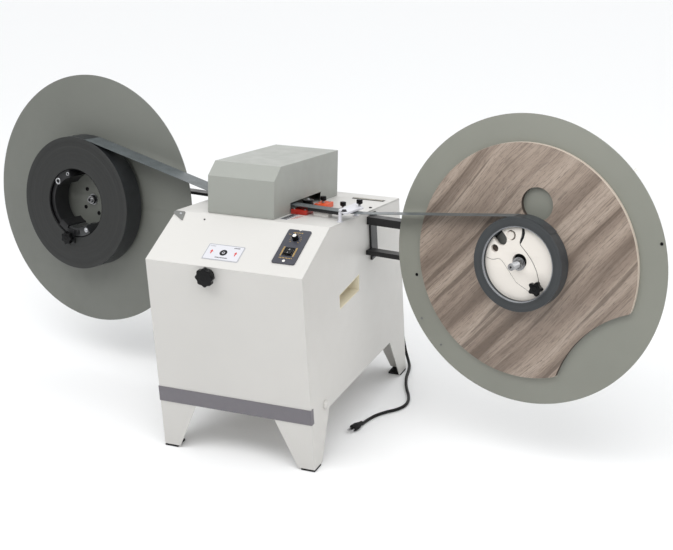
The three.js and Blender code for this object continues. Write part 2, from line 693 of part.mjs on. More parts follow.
// ---- tape from roll to ring -----------------------------------------------

// point and direction where a line from a point touches a circle on its upper side
function tangentTop([pa, pc], [ca, cc], r) {
  const away = Math.sign(ca - pa);
  const dist = Math.hypot(ca - pa, cc - pc);
  const fall = Math.atan2(pc - cc, Math.abs(ca - pa));
  const rise = Math.asin(r / dist) - fall;
  return [ca - away * r * Math.sin(rise), cc + r * Math.cos(rise)];
}

function tape() {
  const inlet = [HEAD_IN, TAPE_C];
  const outlet = [HEAD_OUT, TAPE_C];
  const left = tangentTop(inlet, LEFT_AXIS, ROLL_R + GAP);
  const right = tangentTop(outlet, RIGHT_AXIS, RING_R + GAP);
  const strip = (under, b0, b1) => plateXZ(
    shapeOf([...under, ...offsetLine(under, TAPE_T).reverse()]), b0, b1);
  // full width up to the knife, slit width from there on
  const full = strip([[KNIFE_AT[0], TAPE_C], inlet, left], ROLL_B[0] + 1, ROLL_B[1] - 1);
  const slit = strip([right, outlet, [KNIFE_AT[0] - 4, TAPE_C]], TAPE_B[0] + 1, TAPE_B[1] + 1);
  place(line, 'tape_web', joined(full, slit), PAINT.tape);
}

// ---- power cord -------------------------------------------------------------

// from the gland behind the right rear leg down to the ground and forward to the plug
const FLOOR_Z = CORD_R + 0.4;
const CORD_ROUTE = [
  [190, 372, 205], [190, 388, 205], [190, 406, 200], [192, 420, 186], [195, 427, 162],
  [200, 429, 132], [206, 426, 98], [214, 418, 64], [225, 405, 36], [239, 388, 16],
  [253, 364, 7], [263, 332, FLOOR_Z], [273, 290, FLOOR_Z], [288, 248, FLOOR_Z],
  [307, 208, FLOOR_Z], [327, 172, FLOOR_Z], [340, 136, FLOOR_Z], [341, 102, FLOOR_Z],
  [326, 72, FLOOR_Z], [303, 47, FLOOR_Z], [283, 18, FLOOR_Z], [271, -14, FLOOR_Z],
  [264, -46, FLOOR_Z],
];
const PLUG_DIR = [-0.25, -0.97];

function cord() {
  const points = CORD_ROUTE.map((p) => new THREE.Vector3(...p));
  const path = new THREE.CatmullRomCurve3(points, false, 'centripetal');
  const sides = 8;
  const corners = Array.from({ length: sides }, (_, i) => {
    const t = (i / sides) * 2 * Math.PI;
    return [CORD_R * Math.cos(t), CORD_R * Math.sin(t)];
  });
  const section = shapeOf(corners);
  const tube = new THREE.ExtrudeGeometry(section, {
    steps: 46, bevelEnabled: false, extrudePath: path });
  place(model, 'power_cord', tube, PAINT.rubber);

  const gland = turned([[0, -9], [GLAND_R, -9], [GLAND_R, 0.4], [14, 0.4], [14, 9], [8, 12],
    [6.4, 24.4], [0, 24.4]], 20);
  place(model, 'cord_gland', gland, PAINT.black, GLAND[0], Y_REAR, GLAND[1]);

  // plug lying on the ground at the end of the cord
  const body = new THREE.CylinderGeometry(8, 14, 44, 20);
  body.scale(1, 1, 0.72);
  const pins = [-6, 6].map((x) => box([x - 2, 20, -2], [x + 2, 40, 2]));
  const flip = new THREE.Matrix4().makeRotationZ(Math.PI);
  const plug = pins.reduce((sum, pin) => sum.add(solid(pin)), solid(body, flip));
  const mesh = place(model, 'cord_plug', plug, PAINT.rubber);
  const end = CORD_ROUTE[CORD_ROUTE.length - 1];
  const reach = 22 + GAP;
  mesh.rotation.z = Math.atan2(PLUG_DIR[1], PLUG_DIR[0]) - Math.PI / 2;
  mesh.position.set(end[0] + PLUG_DIR[0] * reach, end[1] + PLUG_DIR[1] * reach, 10.4);
}

cabinet();
operatingPanel();
widthSetting();
head();
outfeed();
cover();
rightReel();
leftReel();
tape();
cord();

export default model;
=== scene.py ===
import json
import math

import bmesh
import bpy
from mathutils import Matrix, Vector


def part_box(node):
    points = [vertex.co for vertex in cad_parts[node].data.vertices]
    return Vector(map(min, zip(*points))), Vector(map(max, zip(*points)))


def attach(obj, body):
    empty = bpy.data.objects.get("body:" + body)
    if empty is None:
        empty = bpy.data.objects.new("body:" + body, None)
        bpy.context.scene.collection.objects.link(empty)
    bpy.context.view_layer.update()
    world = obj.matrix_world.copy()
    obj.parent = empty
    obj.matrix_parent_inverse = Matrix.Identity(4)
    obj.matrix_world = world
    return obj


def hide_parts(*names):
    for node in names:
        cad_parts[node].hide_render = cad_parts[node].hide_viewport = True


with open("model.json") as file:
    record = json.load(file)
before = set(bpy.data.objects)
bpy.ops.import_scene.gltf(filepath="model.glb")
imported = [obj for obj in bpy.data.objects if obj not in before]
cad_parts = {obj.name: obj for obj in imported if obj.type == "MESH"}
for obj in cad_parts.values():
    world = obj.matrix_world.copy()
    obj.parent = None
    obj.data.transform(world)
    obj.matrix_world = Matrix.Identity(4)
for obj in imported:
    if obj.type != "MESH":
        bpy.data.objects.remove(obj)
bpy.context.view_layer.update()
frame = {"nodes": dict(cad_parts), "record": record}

JOINT = {j["name"]: j for j in frame["record"]["behaviour"]["joints"]}
NODES = frame["nodes"]
MM = 0.001
TAU = 2 * math.pi
scene = bpy.context.scene


# ---- frames ----------------------------------------------------------------

def axes(origin, x, y, z):
    """Local frame with its origin and its three axes given in the world."""
    m = Matrix((x, y, z)).transposed().to_4x4()
    m.translation = origin
    return m


def joint_at(name):
    return Vector(JOINT[name]["pos_m"])


def joint_axis(name):
    return Vector(JOINT[name]["axis"]).normalized()


def shift(x=0.0, y=0.0, z=0.0):
    return Matrix.Translation((x * MM, y * MM, z * MM))


def turn(degrees, axis="Z"):
    return Matrix.Rotation(math.radians(degrees), 4, axis)


X, Y, Z = Vector((1, 0, 0)), Vector((0, 1, 0)), Vector((0, 0, 1))
UP = joint_axis("deck_knob_turn")
DEEP = joint_axis("guide_slide")
BACK = joint_axis("left_reel_spin")
ALONG = BACK.cross(UP)
SLOPE_UP = joint_axis("speed_knob_turn")
SLOPE_DEEP = SLOPE_UP.cross(X)

wrap_lo, wrap_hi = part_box("wrap_panel")
mid_x = (wrap_lo.x + wrap_hi.x) / 2
mid_y = (wrap_lo.y + wrap_hi.y) / 2
CABINET = axes((mid_x, mid_y, 0), X, Y, Z)
FRONT = axes((mid_x, wrap_lo.y, 0), X, Z, -Y)
SIDE = axes((wrap_hi.x, mid_y, 0), Y, Z, X)
# how far each joint lies from the origin of the frame that is built on it, in metres
HINGE_X, HINGE_DEEP, HINGE_UP = -0.043, 0.4542, 0.004
DIAL_X, DIAL_DEEP, DIAL_UP = 0.1685, 0.143, 0.010
REEL_DEEP = 0.05
LINE_ALONG, LINE_UP = 0.700, 0.064
DECK = axes(joint_at("cover_open") - X * HINGE_X - DEEP * HINGE_DEEP - UP * HINGE_UP,
            X, DEEP, UP)
SLOPE = axes(joint_at("speed_knob_turn") - X * DIAL_X - SLOPE_DEEP * DIAL_DEEP
             - SLOPE_UP * DIAL_UP, X, SLOPE_DEEP, SLOPE_UP)
LEFT = axes(joint_at("left_reel_spin") - BACK * REEL_DEEP, ALONG, UP, -BACK)
RIGHT = axes(joint_at("right_reel_spin") - BACK * REEL_DEEP, ALONG, UP, -BACK)
LINE = axes(joint_at("left_reel_spin") - BACK * REEL_DEEP + ALONG * LINE_ALONG + UP * LINE_UP,
            ALONG, BACK, UP)

# ---- dimensions shared by several pieces, in millimetres ----------------------

DISC_R, DISC_BACK, DISC_FACE = 400, -55, -52
SHAFT_BORE = 10.6
BOARD_R, BOARD_BACK, BOARD_FACE = 324, -51.7, -37.7
HUB_R = 101.4
RING_BORE, RING_R = 102, 130
ROLL_BORE, ROLL_R = 111, 212
JAW_R = 107.2
BAND = 0.9
CORD_WIDTH = 9.6
THREAD_PITCH, THREAD_DEPTH = 1.6, 0.7


# ---- camera, floor, light ----------------------------------------------------

CAM_PLACE = (1.95025, -3.72525, 2.20531)
CAM_AZIMUTH, CAM_ELEVATION, CAM_ROLL = 25.6814, 22.7482, -3.2581
cam = bpy.data.objects.new("camera", bpy.data.cameras.new("camera"))
cam.matrix_world = (Matrix.Translation(CAM_PLACE) @ turn(CAM_AZIMUTH)
                    @ turn(90 - CAM_ELEVATION, "X") @ turn(CAM_ROLL))
cam.data.sensor_width = 36
cam.data.lens = 81.6
cam.data.clip_end = 200
scene.collection.objects.link(cam)
scene.camera = cam
scene.view_settings.view_transform = "Standard"


def area_light(name, place, target, size, watts):
    data = bpy.data.lights.new(name, "AREA")
    data.shape = "RECTANGLE"
    data.size, data.size_y = size
    data.energy = watts
    light = bpy.data.objects.new(name, data)
    light.location = place
    light.rotation_euler = (Vector(target) - Vector(place)).to_track_quat("-Z", "Y").to_euler()
    scene.collection.objects.link(light)


def sun_light(name, source, strength, angle, color):
    """Very soft light of even strength, as from a white ceiling."""
    data = bpy.data.lights.new(name, "SUN")
    data.energy = strength
    data.angle = math.radians(angle)
    data.color = color
    light = bpy.data.objects.new(name, data)
    light.rotation_euler = Vector(source).to_track_quat("Z", "Y").to_euler()
    scene.collection.objects.link(light)


sun_light("ceiling", (0.05, -0.08, 1), 2.35, 110, (0.97, 0.985, 1.0))
area_light("strip", (0.0, -1.3, 2.3), (0, 0.1, 0.5), (4.4, 0.9), 29)
area_light("fill", (4.6, -1.6, 2.2), (0, 0, 0.6), (2.5, 2.5), 31)

BASE_GLOW = 0.22
world = bpy.data.worlds.new("world")
scene.world = world
world.use_nodes = True


def bright_horizon(tree):
    """Even pale surroundings with one bright strip low behind the machine."""
    shell = tree.nodes["Background"]
    way = tree.nodes.new("ShaderNodeSeparateXYZ")
    tree.links.new(tree.nodes.new("ShaderNodeTexCoord").outputs["Generated"], way.inputs[0])
    steps = []
    for axis, lo, hi in (("Y", 0.45, 0.75), ("Z", 0.60, 0.42)):
        made = tree.nodes.new("ShaderNodeMapRange")
        made.interpolation_type = "SMOOTHSTEP"
        made.inputs[1].default_value, made.inputs[2].default_value = lo, hi
        tree.links.new(way.outputs[axis], made.inputs[0])
        steps.append(made)
    both = tree.nodes.new("ShaderNodeMath")
    both.operation = "MULTIPLY_ADD"
    tree.links.new(steps[0].outputs[0], both.inputs[0])
    tree.links.new(steps[1].outputs[0], both.inputs[1])
    both.inputs[2].default_value = BASE_GLOW
    shell.inputs["Color"].default_value = (1.0, 1.0, 1.0, 1)
    tree.links.new(both.outputs[0], shell.inputs["Strength"])


bright_horizon(world.node_tree)


# ---- materials ---------------------------------------------------------------

def linear(r, g, b, k=1.0):
    """Colour given in sRGB bytes, made k times as bright."""
    def one(v):
        v = v / 255
        v = v / 12.92 if v <= 0.04045 else ((v + 0.055) / 1.055) ** 2.4
        return min(v * k, 1.0)
    return (one(r), one(g), one(b), 1.0)


class Look:
    """A node material, built up from a few procedural blocks."""

    def __init__(self, name):
        self.mat = bpy.data.materials.new(name)
        self.mat.use_nodes = True
        self.tree = self.mat.node_tree
        self.shader = self.tree.nodes["Principled BSDF"]
        self.coords = self.node("TexCoord").outputs["Object"]

    def put(self, socket, value):
        if isinstance(value, bpy.types.NodeSocket):
            self.tree.links.new(value, socket)
        else:
            socket.default_value = value

    def node(self, kind, inputs=None, **settings):
        made = self.tree.nodes.new("ShaderNode" + kind)
        for key, value in settings.items():
            setattr(made, key, value)
        for key, value in (inputs or {}).items():
            self.put(made.inputs[key], value)
        return made

    def set(self, **values):
        for key, value in values.items():
            self.put(self.shader.inputs[key.replace("_", " ")], value)

    def stretched(self, scale, degrees=0.0, vector=None):
        turned = self.node("Mapping", {0: vector or self.coords})
        turned.inputs["Rotation"].default_value = (0, 0, math.radians(degrees))
        scaled = self.node("Mapping", {0: turned.outputs[0]})
        scaled.inputs["Scale"].default_value = scale
        return scaled.outputs[0]

    def noise(self, scale=1.0, detail=2.0, vector=None, rough=0.5):
        made = self.node("TexNoise", {"Vector": vector or self.coords, "Scale": scale,
                                      "Detail": detail, "Roughness": rough})
        return made.outputs[0]

    def rings(self, scale, detail=2.0):
        """Noise that changes only with the distance from the local Z axis."""
        split = self.node("SeparateXYZ", {0: self.coords})
        radius = self.calc("SQRT", self.calc("ADD",
                           self.calc("MULTIPLY", split.outputs[0], split.outputs[0]),
                           self.calc("MULTIPLY", split.outputs[1], split.outputs[1])))
        made = self.node("TexNoise", {"Scale": scale, "Detail": detail},
                         noise_dimensions="1D")
        self.put(made.inputs["W"], radius)
        return made.outputs[0]

    def calc(self, operation, a, b=None):
        made = self.node("Math", {0: a}, operation=operation)
        if b is not None:
            self.put(made.inputs[1], b)
        return made.outputs[0]

    def spread(self, value, lo, hi, frm=0.3, to=0.7):
        made = self.node("MapRange", {0: value, 1: frm, 2: to, 3: lo, 4: hi})
        return made.outputs[0]

    def ramp(self, value, *stops):
        made = self.node("ValToRGB", {0: value})
        cells = made.color_ramp.elements
        while len(cells) < len(stops):
            cells.new(0.5)
        for cell, (place, color) in zip(cells, stops):
            cell.position = place
            cell.color = color
        return made.outputs[0]

    def mix(self, factor, a, b):
        made = self.node("Mix", {0: factor, 6: a, 7: b}, data_type="RGBA")
        return made.outputs[2]

    def bump(self, height, strength, depth, under=None):
        made = self.node("Bump", {"Height": height, "Strength": strength, "Distance": depth})
        if under is not None:
            self.put(made.inputs["Normal"], under)
        return made.outputs[0]


def paint(name, rgb, rough=0.42, tone=0.03, peel=0.10, coat=0.0, specks=0.0):
    """Sprayed enamel or powder coat: orange peel, broad tone drift, uneven gloss."""
    k = Look(name)
    color = k.mix(k.spread(k.noise(3.0, 3), 0, 1), linear(*rgb, 1 - tone), linear(*rgb, 1 + tone))
    if specks:
        dots = k.spread(k.noise(420.0, 2), 0, 1, 0.70, 0.76)
        color = k.mix(k.calc("MULTIPLY", dots, specks), color, linear(*rgb, 0.55))
    k.set(Base_Color=color, Roughness=k.spread(k.noise(26.0, 4), rough - 0.05, rough + 0.08),
          Coat_Weight=coat, Coat_Roughness=0.2)
    k.set(Normal=k.bump(k.noise(620.0, 2), peel, 0.0003))
    return k.mat


def moulded(name, rgb, rough=0.4, grain=0.12, tone=0.08, gloss=0.5):
    """Moulded plastic or rubber with a fine spark-eroded grain."""
    k = Look(name)
    color = k.mix(k.noise(40.0, 3), linear(*rgb, 1 - tone), linear(*rgb, 1 + tone))
    k.set(Base_Color=color, Roughness=k.spread(k.noise(60.0, 3), rough - 0.07, rough + 0.1),
          Specular_IOR_Level=gloss)
    k.set(Normal=k.bump(k.noise(1500.0, 2), grain, 0.0002))
    return k.mat


def brushed(name, rgb, rough=0.3, scale=(14, 900, 900)):
    """Metal with the fine lines of a brush or a mill cutter along one direction."""
    k = Look(name)
    lines = k.noise(1.0, 4, k.stretched(scale))
    color = k.mix(lines, linear(*rgb, 0.88), linear(*rgb, 1.12))
    k.set(Base_Color=color, Metallic=1.0, Roughness=k.spread(lines, rough - 0.08, rough + 0.14))
    k.set(Normal=k.bump(lines, 0.15, 0.0002))
    return k.mat


def turned_metal(name, rgb, rough):
    """Lathe-turned metal: rings round the local Z axis."""
    k = Look(name)
    lines = k.rings(1400.0, 3)
    color = k.mix(lines, linear(*rgb, 0.86), linear(*rgb, 1.12))
    k.set(Base_Color=color, Metallic=1.0,
          Roughness=k.spread(lines, rough - 0.06, rough + 0.16))
    k.set(Normal=k.bump(lines, 0.2, 0.0002))
    return k.mat


def wound(name, rgb, edge_rgb):
    """Side of a tightly wound tape: one line per turn, a few turns standing proud."""
    k = Look(name)
    turns = k.rings(820.0, 2)
    sets = k.rings(70.0, 3)
    color = k.mix(k.spread(turns, 0, 1, 0.35, 0.65), linear(*rgb), linear(*edge_rgb))
    color = k.mix(k.spread(sets, 0.0, 0.5), color, linear(*rgb, 0.55))
    smear = k.noise(9.0, 3)
    color = k.mix(k.spread(smear, 0.0, 0.28), color, linear(*edge_rgb, 1.25))
    k.set(Base_Color=color, Roughness=k.spread(smear, 0.4, 0.62))
    k.set(Normal=k.bump(turns, 0.35, 0.0004, k.bump(sets, 0.3, 0.0008)))
    return k.mat


def tape_face(name, rgb):
    """Broad face of the edge band: embossed along its length, satin."""
    k = Look(name)
    grain = k.noise(1.0, 4, k.stretched((25, 700, 700)))
    drift = k.noise(34.0, 4)
    color = k.mix(k.spread(drift, 0, 1), linear(*rgb, 0.82), linear(*rgb, 1.22))
    color = k.mix(k.spread(grain, 0, 0.35), color, linear(*rgb, 0.6))
    k.set(Base_Color=color, Roughness=k.spread(grain, 0.34, 0.5))
    k.set(Normal=k.bump(grain, 0.2, 0.0003))
    return k.mat


def oak(name, degrees):
    """Grey-brown oak decor; the grain runs at the given angle to the local X axis."""
    k = Look(name)
    push = k.node("CombineXYZ", {1: k.spread(k.noise(2.4, 1), -0.010, 0.010)})
    bend = k.node("VectorMath", {0: k.stretched((1, 1, 1), -degrees), 1: push.outputs[0]},
                  operation="ADD")
    grain = bend.outputs[0]
    bands = k.noise(1.0, 2, k.stretched((0.7, 15, 1), 0, grain), 0.5)
    streaks = k.noise(1.0, 2, k.stretched((1.7, 56, 1), 0, grain), 0.5)
    fibres = k.noise(1.0, 3, k.stretched((16, 300, 1), 0, grain), 0.6)
    pores = k.noise(1.0, 2, k.stretched((48, 700, 1), 0, grain), 0.5)
    color = k.ramp(bands, (0.36, linear(104, 90, 79)), (0.44, linear(134, 119, 107)),
                   (0.53, linear(152, 137, 124)), (0.64, linear(166, 151, 138)))
    color = k.mix(k.spread(streaks, 0.7, 0.0, 0.34, 0.42), color, linear(90, 77, 67))
    color = k.mix(k.spread(streaks, 0.0, 0.4, 0.56, 0.70), color, linear(174, 160, 147))
    color = k.mix(k.spread(fibres, 0.45, 0.0, 0.38, 0.50), color, linear(92, 79, 70))
    color = k.mix(k.spread(pores, 0.6, 0.0, 0.32, 0.40), color, linear(66, 55, 48))
    k.set(Base_Color=color, Roughness=k.spread(streaks, 0.42, 0.58))
    k.set(Normal=k.bump(pores, 0.25, 0.0003, k.bump(fibres, 0.2, 0.0003)))
    return k.mat


WHITE = paint("white_powder_coat", (204, 202, 198), 0.42, 0.02, 0.10)
TOPCOAT = paint("cover_enamel", (152, 154, 148), 0.42, 0.03, 0.12, 0.05)
# the pay-off disc is the take-up disc's grey made darker: painted shade for the less light it gets
LEFT_DISC_SHADED = paint("pay_off_disc_enamel_painted_shade", (112, 114, 108), 0.50, 0.05, 0.10, 0.0, 0.25)
RIGHT_DISC = paint("take_up_disc_enamel", (130, 131, 122), 0.48, 0.05, 0.10, 0.0, 0.25)
HOUSING = paint("housing_enamel", (112, 113, 110), 0.45, 0.06, 0.25)
BLACK_COAT = paint("black_powder_coat", (21, 21, 23), 0.42, 0.10, 0.25)
RED = paint("red_enamel", (168, 38, 26), 0.36, 0.08, 0.15)
ORANGE = paint("orange_enamel", (222, 84, 38), 0.36, 0.06, 0.15)
CREAM = paint("hub_enamel", (230, 224, 216), 0.40, 0.03, 0.12)
DARK_COAT = paint("jaw_enamel", (40, 41, 42), 0.3, 0.08, 0.2, 0.3)
MOTOR = paint("motor_enamel", (62, 64, 68), 0.5, 0.08, 0.3)
STRIPE = moulded("band_vinyl", (112, 109, 114), 0.5, 0.08, 0.03)
TRAY = moulded("tray_plastic", (234, 226, 204), 0.55, 0.12, 0.05)
# black moulded plastic; also painted shade on the floor of the shafts' centre bores
BLACK_PLASTIC_AND_SHADE = moulded("black_plastic_and_painted_shade", (10, 10, 11), 0.22, 0.06, 0.08, 0.2)
RUBBER = moulded("black_rubber", (14, 14, 15), 0.6, 0.25, 0.08, 0.25)
CABLE = moulded("cable_sheath", (16, 16, 17), 0.45, 0.08, 0.08, 0.25)
FACIA = moulded("panel_foil", (56, 57, 66), 0.42, 0.15, 0.06)
FOIL = moulded("label_foil", (206, 206, 211), 0.40, 0.06, 0.02)
# grey of the label's printed border; also a painted highlight on the take-up ring's inner lip
BORDER_GREY_AND_HIGHLIGHT = moulded("label_border_and_painted_highlight", (150, 152, 156), 0.45, 0.06)
# black print; also painted shade along the hub's joint and slot
INK_AND_SHADE = moulded("black_ink_and_painted_shade", (24, 24, 27), 0.5, 0.05, 0.08, 0.2)
RED_INK = moulded("red_ink", (196, 42, 34), 0.5, 0.05)
GOLD = moulded("gold_ink", (206, 168, 84), 0.38, 0.05)
# off-white for white marks, plugs and screws; also a painted highlight on the speed dial's top
IVORY_AND_HIGHLIGHT = moulded("white_edge_and_painted_highlight", (234, 232, 227), 0.45, 0.06, 0.02)
STEEL = brushed("brushed_steel", (196, 197, 199), 0.28)
DARK_STEEL = brushed("blackened_steel", (70, 70, 73), 0.36)
ALLOY = brushed("milled_aluminium", (206, 208, 208), 0.34, (900, 30, 900))
TURNED = turned_metal("turned_steel", (166, 166, 167), 0.22)
TAPE_SIDE = wound("wound_tape", (31, 32, 31), (43, 44, 43))
RING_SIDE = wound("slit_tape", (48, 51, 53), (58, 61, 63))
TAPE_FACE = tape_face("tape_face", (88, 94, 96))
RING_FACE = tape_face("slit_tape_face", (60, 64, 67))
ROLL_FACE = tape_face("roll_outer_face", (42, 44, 46))
WOOD = oak("oak_decor", 49)
CUT_EDGE = moulded("board_edge", (208, 195, 181), 0.5, 0.2, 0.08)
# dark brown used as painted shade: on the board's inner cut edges and on the floor of the hub's
# round hole
PAINTED_SHADE_BROWN = moulded("painted_shade_brown", (70, 60, 53), 0.6, 0.3, 0.15)


# ---- shapes --------------------------------------------------------------------

def circle(radius, sides=48, cx=0.0, cy=0.0, start=0.0):
    return [(cx + radius * math.cos(start + TAU * i / sides),
             cy + radius * math.sin(start + TAU * i / sides)) for i in range(sides)]


def arc(radius, lo, hi, steps, cx=0.0, cy=0.0):
    return [(cx + radius * math.cos(math.radians(lo + (hi - lo) * i / steps)),
             cy + radius * math.sin(math.radians(lo + (hi - lo) * i / steps)))
            for i in range(steps + 1)]


def sector(inner, outer, lo, hi, steps):
    """Outline of a piece of a flat ring, between two angles."""
    return arc(outer, lo, hi, steps) + arc(inner, hi, lo, steps)


def rounded(w, h, r, cx=0.0, cy=0.0):
    """Outline of a rectangle with rounded corners."""
    points = []
    for sx, sy, start in ((1, -1, -90), (1, 1, 0), (-1, 1, 90), (-1, -1, 180)):
        points += arc(r, start, start + 90, 5, cx + sx * (w / 2 - r), cy + sy * (h / 2 - r))
    return points


def fillet(points, r, steps=3, closed=True):
    """Rounds the corners of an outline."""
    out = []
    count = len(points)
    for i, p in enumerate(points):
        if not closed and i in (0, count - 1):
            out.append(tuple(p))
            continue
        p = Vector(p)
        a = Vector(points[i - 1]) - p
        b = Vector(points[(i + 1) % count]) - p
        reach = min(r, a.length * 0.45, b.length * 0.45)
        start, end = p + a.normalized() * reach, p + b.normalized() * reach
        for s in range(steps + 1):
            t = s / steps
            out.append(tuple(start * (1 - t) ** 2 + p * 2 * t * (1 - t) + end * t * t))
    return out


def lobes(count, outer, inner, per=10):
    """Outline of a star grip or a knurled rim."""
    mid, swing = (outer + inner) / 2, (outer - inner) / 2
    steps = count * per
    points = []
    for i in range(steps):
        t = TAU * i / steps
        wave = math.cos(count * t)
        r = mid + swing * math.copysign(abs(wave) ** 0.7, wave)
        points.append((r * math.cos(t), r * math.sin(t)))
    return points


def ribbon(points, width):
    """Narrow closed outline along an open line."""
    near, far = [], []
    for i, (x, y) in enumerate(points):
        ahead = Vector(points[min(i + 1, len(points) - 1)]) - Vector(points[max(i - 1, 0)])
        side = Vector((-ahead.y, ahead.x)).normalized() * width / 2
        near.append((x + side.x, y + side.y))
        far.append((x - side.x, y - side.y))
    return near + far[::-1]


class Piece:
    """One object gathered from several shapes, in a local frame, in millimetres."""

    def __init__(self, name, place, body, *looks):
        self.name, self.place, self.body, self.looks = name, place, body, looks
        self.bm = bmesh.new()

    def add(self, part, at=None, look=0):
        """Takes in one finished shape and frees it."""
        for f in part.faces:
            f.material_index = look
        if at is not None:
            part.transform(at)
        made = bpy.data.meshes.new("part")
        part.to_mesh(made)
        part.free()
        self.bm.from_mesh(made)
        bpy.data.meshes.remove(made)

    def lathe(self, profile, sides=48, look=0, at=None, closed=True):
        """Profile rows are (radius, z); a radius of 0 makes a pole."""
        part = bmesh.new()
        rows = []
        for r, z in profile:
            if r < 1e-6:
                rows.append([part.verts.new((0, 0, z * MM))] * sides)
            else:
                rows.append([part.verts.new((x * MM, y * MM, z * MM))
                             for x, y in circle(r, sides)])
        loops = list(zip(rows, rows[1:] + rows[:1])) if closed else list(zip(rows, rows[1:]))
        for low, high in loops:
            for i in range(sides):
                j = (i + 1) % sides
                ring = []
                for v in (low[i], low[j], high[j], high[i]):
                    if v not in ring:
                        ring.append(v)
                if len(ring) > 2:
                    part.faces.new(ring)
        self.add(part, at, look)

    def prism(self, outline, z0, z1, bevel=0.0, look=0, at=None, steps=2):
        """Outline raised from z0 to z1, with its sharp edges bevelled."""
        part = bmesh.new()
        low = [part.verts.new((x * MM, y * MM, z0 * MM)) for x, y in outline]
        high = [part.verts.new((x * MM, y * MM, z1 * MM)) for x, y in outline]
        part.faces.new(low[::-1])
        part.faces.new(high)
        for i in range(len(outline)):
            j = (i + 1) % len(outline)
            part.faces.new((low[i], low[j], high[j], high[i]))
        if bevel:
            part.normal_update()
            edges = [e for e in part.edges if e.calc_face_angle(0) > math.radians(28)]
            bmesh.ops.bevel(part, geom=edges, offset=bevel * MM, segments=steps,
                            profile=0.6, affect="EDGES", clamp_overlap=True)
        self.add(part, at, look)

    def block(self, lo, hi, bevel=0.6, look=0, at=None):
        outline = [(lo[0], lo[1]), (hi[0], lo[1]), (hi[0], hi[1]), (lo[0], hi[1])]
        self.prism(outline, lo[2], hi[2], bevel, look, at)

    def plate(self, outline, holes, z0, z1, bevel=0.4, look=0, at=None):
        """Flat plate with holes and rounded edges."""
        flat = bpy.data.curves.new("flat", "CURVE")
        flat.dimensions = "2D"
        flat.fill_mode = "BOTH"
        for loop in (outline, *holes):
            line = flat.splines.new("POLY")
            line.points.add(len(loop) - 1)
            for point, (x, y) in zip(line.points, loop):
                point.co = (x * MM, y * MM, 0, 1)
            line.use_cyclic_u = True
        flat.extrude = ((z1 - z0) / 2 - bevel) * MM
        flat.bevel_depth = bevel * MM
        flat.bevel_resolution = 1
        flat.offset = -bevel * MM
        holder = bpy.data.objects.new("flat", flat)
        scene.collection.objects.link(holder)
        made = bpy.data.meshes.new_from_object(
            holder.evaluated_get(bpy.context.evaluated_depsgraph_get()))
        part = bmesh.new()
        part.from_mesh(made)
        bpy.data.objects.remove(holder)
        bpy.data.curves.remove(flat)
        bpy.data.meshes.remove(made)
        part.transform(shift(0, 0, (z0 + z1) / 2))
        self.add(part, at, look)

    def screw(self, x, y, z, r=4.0, h=3.0, look=0, at=None):
        """Socket-head screw, head upward."""
        move = shift(x, y, z)
        profile = [(0, h * 0.4), (r * 0.5, h * 0.4), (r * 0.52, h), (r * 0.86, h),
                   (r, h * 0.8), (r, 0), (0, 0)]
        self.lathe(profile, 20, look, move if at is None else at @ move, closed=False)

    def hex(self, x, y, z, r, h, look=0):
        """Hexagon head on a washer, head upward."""
        at = shift(x, y, z)
        self.lathe([(0, 0), (r * 1.25, 0), (r * 1.25, h * 0.2), (r * 1.15, h * 0.27),
                    (0, h * 0.27)], 28, look, at, closed=False)
        self.prism(circle(r, 6), h * 0.27, h * 0.86, 0.0, look, at)
        self.lathe([(0, h), (r * 0.78, h), (r * 0.86, h * 0.86)], 24, look, at, closed=False)

    def done(self, stands_for=(), angle=32, weld=True):
        """Makes the object, rides it on its body and hides the CAD nodes it replaces."""
        if weld:
            bmesh.ops.remove_doubles(self.bm, verts=self.bm.verts, dist=1e-6)
        bmesh.ops.recalc_face_normals(self.bm, faces=self.bm.faces)
        mesh = bpy.data.meshes.new(self.name)
        self.bm.to_mesh(mesh)
        self.bm.free()
        for look in self.looks:
            mesh.materials.append(look)
        mesh.shade_smooth()
        mesh.set_sharp_from_angle(angle=math.radians(angle))
        made = bpy.data.objects.new(self.name, mesh)
        scene.collection.objects.link(made)
        made.matrix_world = self.place
        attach(made, self.body)
        if stands_for:
            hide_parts(*([stands_for] if isinstance(stands_for, str) else stands_for))
        return made


def dress(node, look, bevel=0.8, angle=25, segments=2):
    """CAD node kept as it is: new material and softened edges."""
    o = NODES[node]
    o.data.materials.clear()
    o.data.materials.append(look)
    o.data.shade_smooth()
    o.data.set_sharp_from_angle(angle=math.radians(27))
    if bevel:
        soft = o.modifiers.new("edges", "BEVEL")
        soft.width = bevel * MM
        soft.segments = segments
        soft.limit_method = "ANGLE"
        soft.angle_limit = math.radians(angle)
        soft.use_clamp_overlap = True
        soft.harden_normals = True


# ---- power cord ----------------------------------------------------------------

GLAND = (190, 347, 205)
LYING = 5.4
CORD = [(190, 372, 205), (190, 388, 205), (190, 406, 200), (192, 420, 186), (195, 427, 162),
        (200, 429, 132), (206, 426, 98), (214, 418, 64), (225, 405, 36), (239, 388, 16),
        (253, 364, 7), (263, 332, LYING), (273, 290, LYING), (288, 248, LYING),
        (307, 208, LYING), (327, 172, LYING), (340, 136, LYING), (341, 102, LYING),
        (326, 72, LYING), (303, 47, LYING), (283, 18, LYING), (271, -14, LYING),
        (264, -46, LYING)]


def smooth_path(points, per):
    """Catmull-Rom curve through the points."""
    out = []
    for i in range(len(points) - 1):
        p0 = Vector(points[max(i - 1, 0)])
        p1, p2 = Vector(points[i]), Vector(points[i + 1])
        p3 = Vector(points[min(i + 2, len(points) - 1)])
        for s in range(per):
            t = s / per
            out.append(0.5 * (2 * p1 + (p2 - p0) * t + (2 * p0 - 5 * p1 + 4 * p2 - p3) * t * t
                              + (3 * p1 - p0 - 3 * p2 + p3) * t ** 3))
    out.append(Vector(points[-1]))
    return out


